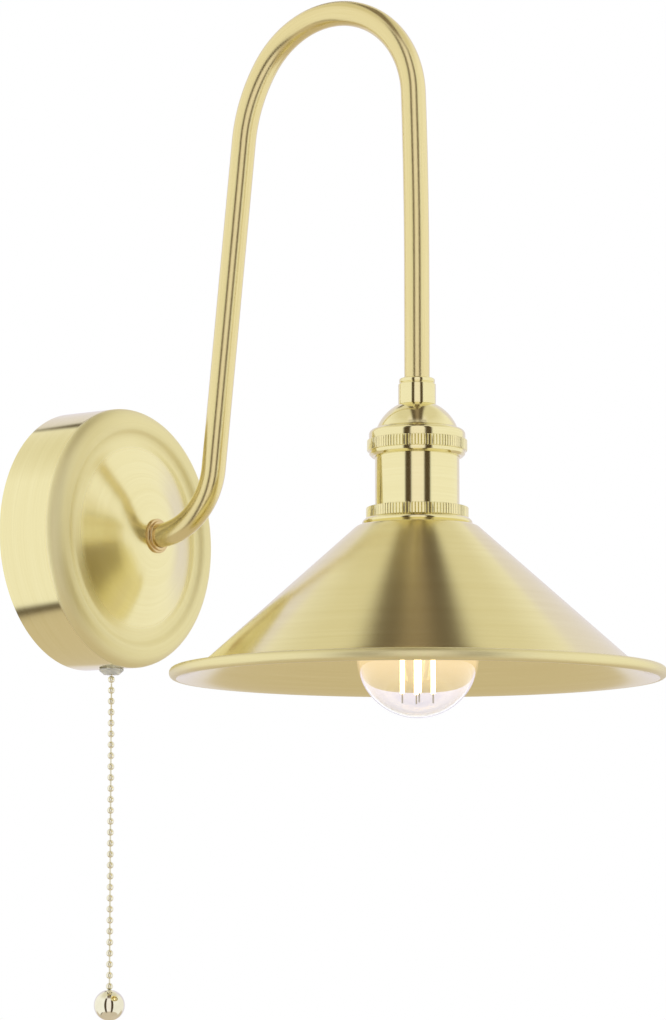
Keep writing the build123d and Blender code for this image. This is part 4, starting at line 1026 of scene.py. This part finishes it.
def bead_arc(centre):
    """Right half of a bead, from its upper link to its lower one."""
    top = math.acos(LINK_HALF / BEAD_HALF)
    return arc((0.0, centre), BEAD_HALF, top, -top, 9)


top_profile = arc((0.0, FIRST_BEAD), BEAD_HALF, math.pi / 2, -math.pi / 2, 13)
finished(
    on_chain("bead_first", top_profile, 28),
    "top_bead", ["chain_top_bead"], polish,
)
chain_low, chain_high = heights("bead_chain")
bead_centres = FIRST_BEAD - BEAD_PITCH * np.arange(1, BEADS_BELOW + 1)
beads = np.concatenate([bead_arc(centre) for centre in bead_centres])
upper_end = [(0.0, chain_high), (LINK_HALF, chain_high)]
lower_end = [(LINK_HALF, chain_low), (0.0, chain_low)]
chain_profile = np.concatenate([upper_end, beads, lower_end])
finished(
    on_chain("bead_chain_turned", chain_profile, 24),
    "chain", ["bead_chain"], polish,
)

# %% [markdown]
# The end ball is turned from solid brass. The chain goes into a small hole in its top, and a nib
# is left below. Ball, hole and nib are one profile.

# %% End ball
KNOB_RADIUS = half_width("end_ball")
KNOB_LOW, KNOB_HIGH = heights("end_ball")
HOLE_EDGE = 1.5
HOLE_RADIUS = HOLE_EDGE - 0.2
HOLE_FLOOR = KNOB_HIGH - 4.0
NIB_EDGE = 1.2
KNOB_CENTRE = KNOB_HIGH - math.sqrt(KNOB_RADIUS**2 - HOLE_EDGE**2)
hole_angle = math.acos(HOLE_EDGE / KNOB_RADIUS)
nib_angle = -math.acos(NIB_EDGE / KNOB_RADIUS)
hole = [(0.0, HOLE_FLOOR), (HOLE_RADIUS, HOLE_FLOOR), (HOLE_RADIUS, KNOB_HIGH - 0.3)]
nib = [(NIB_EDGE - 0.05, KNOB_LOW + 0.05), (NIB_EDGE - 0.3, KNOB_LOW), (0.0, KNOB_LOW)]
knob_side = arc((0.0, KNOB_CENTRE), KNOB_RADIUS, hole_angle, nib_angle, 48)
finished(
    on_chain("end_ball_polished", np.concatenate([hole, knob_side, nib]), 96),
    "chain", ["end_ball"], polish,
)

# %% [markdown]
# The chain leaves the cover through a small bush of frosted plastic. Light goes into it and comes
# out blurred, so it is mostly transmission with a rough surface, over a pale base.


# %% Frosted bush
def frosted_plastic():
    tones = [(0.86, 0.855, 0.84), (0.92, 0.915, 0.90)]
    rough, ends = (0.32, 0.5), (0.3, 0.7)
    material, _, shader, _ = clouded("plastic_frosted", tones, rough, 700.0, ends=ends)
    set_inputs(shader, Transmission_Weight=0.55, IOR=1.46)
    return material


GLAND_LOW, GLAND_HIGH = heights("chain_gland")
GLAND_BORE = 1.7
GLAND_TIP = 3.0
GLAND_WIDE = half_width("chain_gland")
GLAND_NECK = 4.0
COVER_BOTTOM = -COVER_RADIUS
gland_profile = rounded(
    [
        (GLAND_BORE, GLAND_LOW),
        (GLAND_TIP, GLAND_LOW),
        (GLAND_WIDE, COVER_BOTTOM - 0.8),
        (GLAND_WIDE, COVER_BOTTOM),
        (GLAND_NECK, COVER_BOTTOM),
        (GLAND_NECK, GLAND_HIGH),
        (GLAND_BORE, GLAND_HIGH),
    ],
    [0.35, 0.3, 0.3, 0.0, 0.0],
    count=6,
)
finished(
    on_chain("gland_frosted", gland_profile, 96),
    "fixture", ["chain_gland"], frosted_plastic(),
)

# %% [markdown]
# ## Pieces that stay as packed
#
# The bracket, switch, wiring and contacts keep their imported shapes. They are seen from behind and
# through the shade's mouth, and each gets a finish of its own kind: zinc, moulded plastic, plain
# brass, unglazed porcelain. One recipe serves them all: a colour that drifts between two tones, a
# roughness that drifts with it, and a fine bump.


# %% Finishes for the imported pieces
def plain_finish(name, tones, rough, scale, metallic):
    material, tree, shader, cloud = clouded(name, tones, rough, scale, 5.0, 0.6)
    tree.links.new(bump(tree, cloud, 0.1, 0.0001), shader.inputs["Normal"])
    set_inputs(shader, Metallic=metallic)
    return material


def dress(names, finish):
    for name in names:
        nodes[name].data.materials.clear()
        nodes[name].data.materials.append(finish)


# Name: two tones, roughness from and to, scale of the noise, metallic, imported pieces.
FINISHES = {
    "steel_zinc": (
        [(0.55, 0.56, 0.58), (0.70, 0.71, 0.73)], (0.28, 0.42), 220.0, 1.0,
        [
            "wall_bracket", "cover_clip", "cover_screw", "arm_nut", "arm_washer", "holder_nut",
            "grub_screw", "return_spring", "wheel_pin", "core_screws",
        ],
    ),
    "nickel_plate": (
        [(0.70, 0.68, 0.64), (0.80, 0.78, 0.74)], (0.12, 0.22), 300.0, 1.0, ["bulb_cap"],
    ),
    "brass_plain": (
        [(0.68, 0.53, 0.26), (0.80, 0.66, 0.36)], (0.2, 0.34), 260.0, 1.0,
        [
            "terminal_sleeves", "terminal_screws", "switch_contacts", "screw_shell",
            "centre_contact", "earth_screw",
        ],
    ),
    "brass_rod": (
        [(0.74, 0.62, 0.36), (0.84, 0.74, 0.50)], (0.1, 0.2), 300.0, 1.0, ["pull_rod"],
    ),
    "plastic_moulded": (
        [(0.78, 0.78, 0.75), (0.86, 0.86, 0.84)], (0.38, 0.5), 420.0, 0.0,
        ["switch_body", "switch_lid", "terminal_block", "ratchet_wheel", "contact_disc"],
    ),
    "porcelain_bisque": (
        [(0.80, 0.78, 0.73), (0.88, 0.86, 0.82)], (0.5, 0.65), 500.0, 0.0, ["holder_core"],
    ),
    "glass_black": (
        [(0.03, 0.03, 0.035), (0.06, 0.06, 0.07)], (0.08, 0.16), 200.0, 0.0, ["bulb_insulator"],
    ),
    "sheath_soft": (
        [(0.78, 0.73, 0.55), (0.85, 0.80, 0.63)], (0.4, 0.55), 350.0, 0.0, ["arm_flex"],
    ),
    "sleeve_core": (
        [(0.14, 0.22, 0.50), (0.20, 0.30, 0.60)], (0.35, 0.5), 350.0, 0.0,
        ["flex_cores", "switch_leads"],
    ),
    "wire_drawn": (
        [(0.42, 0.40, 0.37), (0.56, 0.54, 0.50)], (0.25, 0.4), 600.0, 1.0, ["bulb_wires"],
    ),
}
for name, (tones, rough, scale, metallic, pieces) in FINISHES.items():
    dress(pieces, plain_finish(name, tones, rough, scale, metallic))
dress(["bulb_stem"], glass)
shown = [name for name, piece in nodes.items() if not piece.hide_render]
unfinished = [name for name in shown if not nodes[name].data.materials]
print("packed pieces shown", len(shown), "left without a finish", unfinished)

# %% [markdown]
# ## Floor
#
# The floor lies below the chain's ball and carries only a soft shadow. It adds a little of its own
# brightness where the camera looks at it directly, so that it reads as white paper without more
# light on the brass.

# %% Floor
FLOOR_HEIGHT = model_box[0].z - 0.06
FLOOR_REACH = 1.2
PAPER_GLOW = 0.55
WHITE = (1.0, 1.0, 1.0, 1.0)


def highest(tree, first, *others):
    for other in others:
        first = maths(tree, "MAXIMUM", first, other)
    return first


def paper(name):
    material, tree, shader = new_material(name)
    grain = noise(tree, object_place(tree), 3.0, 4.0)
    colour = ramp(tree, grain, [(0.3, (0.80, 0.80, 0.80)), (0.7, (0.82, 0.82, 0.82))])
    ray = node(tree, "ShaderNodeLightPath").outputs
    seen = highest(tree, ray["Is Camera Ray"], ray["Is Glossy Ray"], ray["Is Transmission Ray"])
    tree.links.new(colour, shader.inputs["Base Color"])
    tree.links.new(times(tree, seen, PAPER_GLOW), shader.inputs["Emission Strength"])
    set_inputs(shader, Roughness=0.9, Specular_IOR_Level=0.0, Emission_Color=WHITE)
    return material


floor_mesh = bpy.data.meshes.new("floor")
around = [(-1, -1), (1, -1), (1, 1), (-1, 1)]
corners = [(x * FLOOR_REACH, y * FLOOR_REACH, FLOOR_HEIGHT) for x, y in around]
floor_mesh.from_pydata(corners, [], [(0, 1, 2, 3)])
floor_mesh.materials.append(paper("paper_white"))
floor = bpy.data.objects.new("floor", floor_mesh)
floor.visible_glossy = False
bpy.context.scene.collection.objects.link(floor)
print("floor at", round(FLOOR_HEIGHT, 3))

# %% [markdown]
# ## Studio
#
# Brass has no colour of its own: it shows the room. A photographer gives it white walls to be
# bright, and dark flags to draw its edges. Here the world is that room. The camera sees plain
# white behind the light and through the glass. Only glossy rays meet the coloured parts, which are
# given by direction in a room turned so that +x looks at the camera: two dark flags that stand
# beside the camera, two smoky ones closer together overhead with brown between them, a lavender
# wall behind with a thin dark gap above it, a tan floor with a short dark skirting, and walls that
# turn from warm white to the ceiling's tone.

# %% Helpers for the room
world = bpy.data.worlds.new("studio")
world.use_nodes = True
bpy.context.scene.world = world
sky = world.node_tree
sky.nodes.clear()


def band(value, centre, half_wide, soft):
    """1 where value is within half_wide of centre, falling to 0 over soft."""
    away = maths(sky, "ABSOLUTE", maths(sky, "SUBTRACT", value, centre))
    return spread(sky, away, half_wide, half_wide + soft, 1.0, 0.0)


def patch(across, upwards):
    """Where two bands cross. across and upwards are the values that band takes."""
    return times(sky, band(*across), band(*upwards))


def painted(below, factor, colour):
    """The colour below, with another colour laid over it where factor is 1."""
    layers = [(0, factor), (6, below), (7, (*colour, 1.0))]
    return node(sky, "ShaderNodeMix", layers, data_type="RGBA").outputs[2]


print("room helpers ready")

# %% [markdown]
# A direction has a bearing, where 0 looks at the camera, and a rise, where 0 is level. x tells how
# far it looks towards the camera, and lateral how far it looks to either side.

# %% Directions in the room
CAMERA_SIDE = math.radians(214.3)
direction = node(sky, "ShaderNodeTexCoord").outputs["Generated"]
turning = [("Vector", direction), ("Rotation", (0.0, 0.0, -CAMERA_SIDE))]
x, y, z = split_up(sky, node(sky, "ShaderNodeMapping", turning).outputs[0])
bearing = times(sky, maths(sky, "ARCTAN2", y, x), 180 / math.pi)
rise = times(sky, maths(sky, "ARCSINE", z), 180 / math.pi)
side = maths(sky, "ABSOLUTE", bearing)
lateral = maths(sky, "ABSOLUTE", y)
print("camera side at", round(math.degrees(CAMERA_SIDE), 1), "degrees")

# %% [markdown]
# Each part of the room is a band or a patch with a soft edge, and they are painted one over the
# other. Bearing, side and rise are in degrees, and x and lateral are at most 1.

# %% Colours and parts of the room
WARM_WHITE = (1.0, 0.985, 0.93)
PINK_WHITE = (1.0, 0.95, 0.93)
LAVENDER = (0.84, 0.80, 0.90)
CEILING = (0.80, 0.755, 0.60)
BROWN = (0.30, 0.235, 0.165)
SMOKE = (0.13, 0.10, 0.07)
TAN = (0.67, 0.585, 0.47)
DARK = (0.085, 0.06, 0.035)

ceiling = spread(sky, rise, 38.0, 58.0)
back_wall = patch((side, 180.0, 36.0, 10.0), (rise, 0.0, 41.0, 3.0))
beside_camera = times(sky, band(lateral, 0.0, 0.30, 0.10), spread(sky, x, 0.2, 0.5))
overhead = times(sky, spread(sky, rise, 48.0, 62.0), spread(sky, x, -0.50, -0.38))
brown_middle = times(sky, overhead, band(lateral, 0.0, 0.10, 0.06))
smoky_sides = times(sky, overhead, band(lateral, 0.125, 0.035, 0.06))
back_floor = patch((side, 180.0, 55.0, 15.0), (rise, -90.0, 66.0, 6.0))
tan_floor = highest(sky, band(rise, -90.0, 42.0, 4.0), back_floor)
flags = patch((side, 26.0, 6.5, 4.0), (rise, 0.0, 46.0, 14.0))
gap = patch((bearing, -167.0, 12.0, 5.0), (rise, 46.5, 2.5, 2.0))
skirting = patch((bearing, -92.0, 22.0, 8.0), (rise, -46.0, 0.8, 2.0))

coats = [
    (ceiling, CEILING), (back_wall, LAVENDER), (beside_camera, PINK_WHITE), (brown_middle, BROWN),
    (smoky_sides, SMOKE), (tan_floor, TAN), (highest(sky, flags, gap, skirting), DARK),
]
room = (*WARM_WHITE, 1.0)
for part, colour in coats:
    room = painted(room, part, colour)
print("room nodes", len(sky.nodes))

# %% [markdown]
# Last comes the choice by kind of ray. What lights the plain surfaces is a weaker white than the
# one that the camera sees, because the two lamps add to it.

# %% What each kind of ray meets
FILL_STRENGTH = 0.62


def backdrop(colour, strength):
    return node(sky, "ShaderNodeBackground", [("Color", colour), ("Strength", strength)]).outputs[0]


def either(factor, below, above):
    mixing = [(0, factor), (1, below), (2, above)]
    return node(sky, "ShaderNodeMixShader", mixing).outputs[0]


ray = node(sky, "ShaderNodeLightPath").outputs
direct = highest(sky, ray["Is Camera Ray"], ray["Is Transmission Ray"])
unmirrored = either(direct, backdrop(WHITE, FILL_STRENGTH), backdrop(WHITE, 1.0))
every_ray = either(ray["Is Glossy Ray"], unmirrored, backdrop(room, 1.0))
node(sky, "ShaderNodeOutputWorld", [("Surface", every_ray)])
print("world nodes", len(sky.nodes))

# %% [markdown]
# Two large soft lamps model the plain surfaces and lay a soft shadow on the floor. They are hidden
# from glossy rays, because the room already stands for them in the metal.


# %% Soft lamps
def soft_lamp(name, place, target, size, power):
    data = bpy.data.lights.new(name, "AREA")
    data.shape = "SQUARE"
    data.size = size
    data.energy = power
    lamp = bpy.data.objects.new(name, data)
    bpy.context.scene.collection.objects.link(lamp)
    lamp.location = place
    away = (lamp.location - target).normalized()
    lamp.rotation_mode = "QUATERNION"
    lamp.rotation_quaternion = away.to_track_quat("Z", "Y")
    lamp.visible_glossy = False
    return lamp


middle = (model_box[0] + model_box[1]) / 2
key = soft_lamp("lamp_key", (-1.1, -1.5, 1.6), middle, size=1.2, power=22.0)
fill = soft_lamp("lamp_fill", (1.6, -1.0, 0.7), middle, size=1.4, power=10.0)
print("lamps", key.name, fill.name)

# %% [markdown]
# ## Colour
#
# The Standard view shows colours as they are written.

# %% Finish
bpy.context.scene.view_settings.view_transform = "Standard"
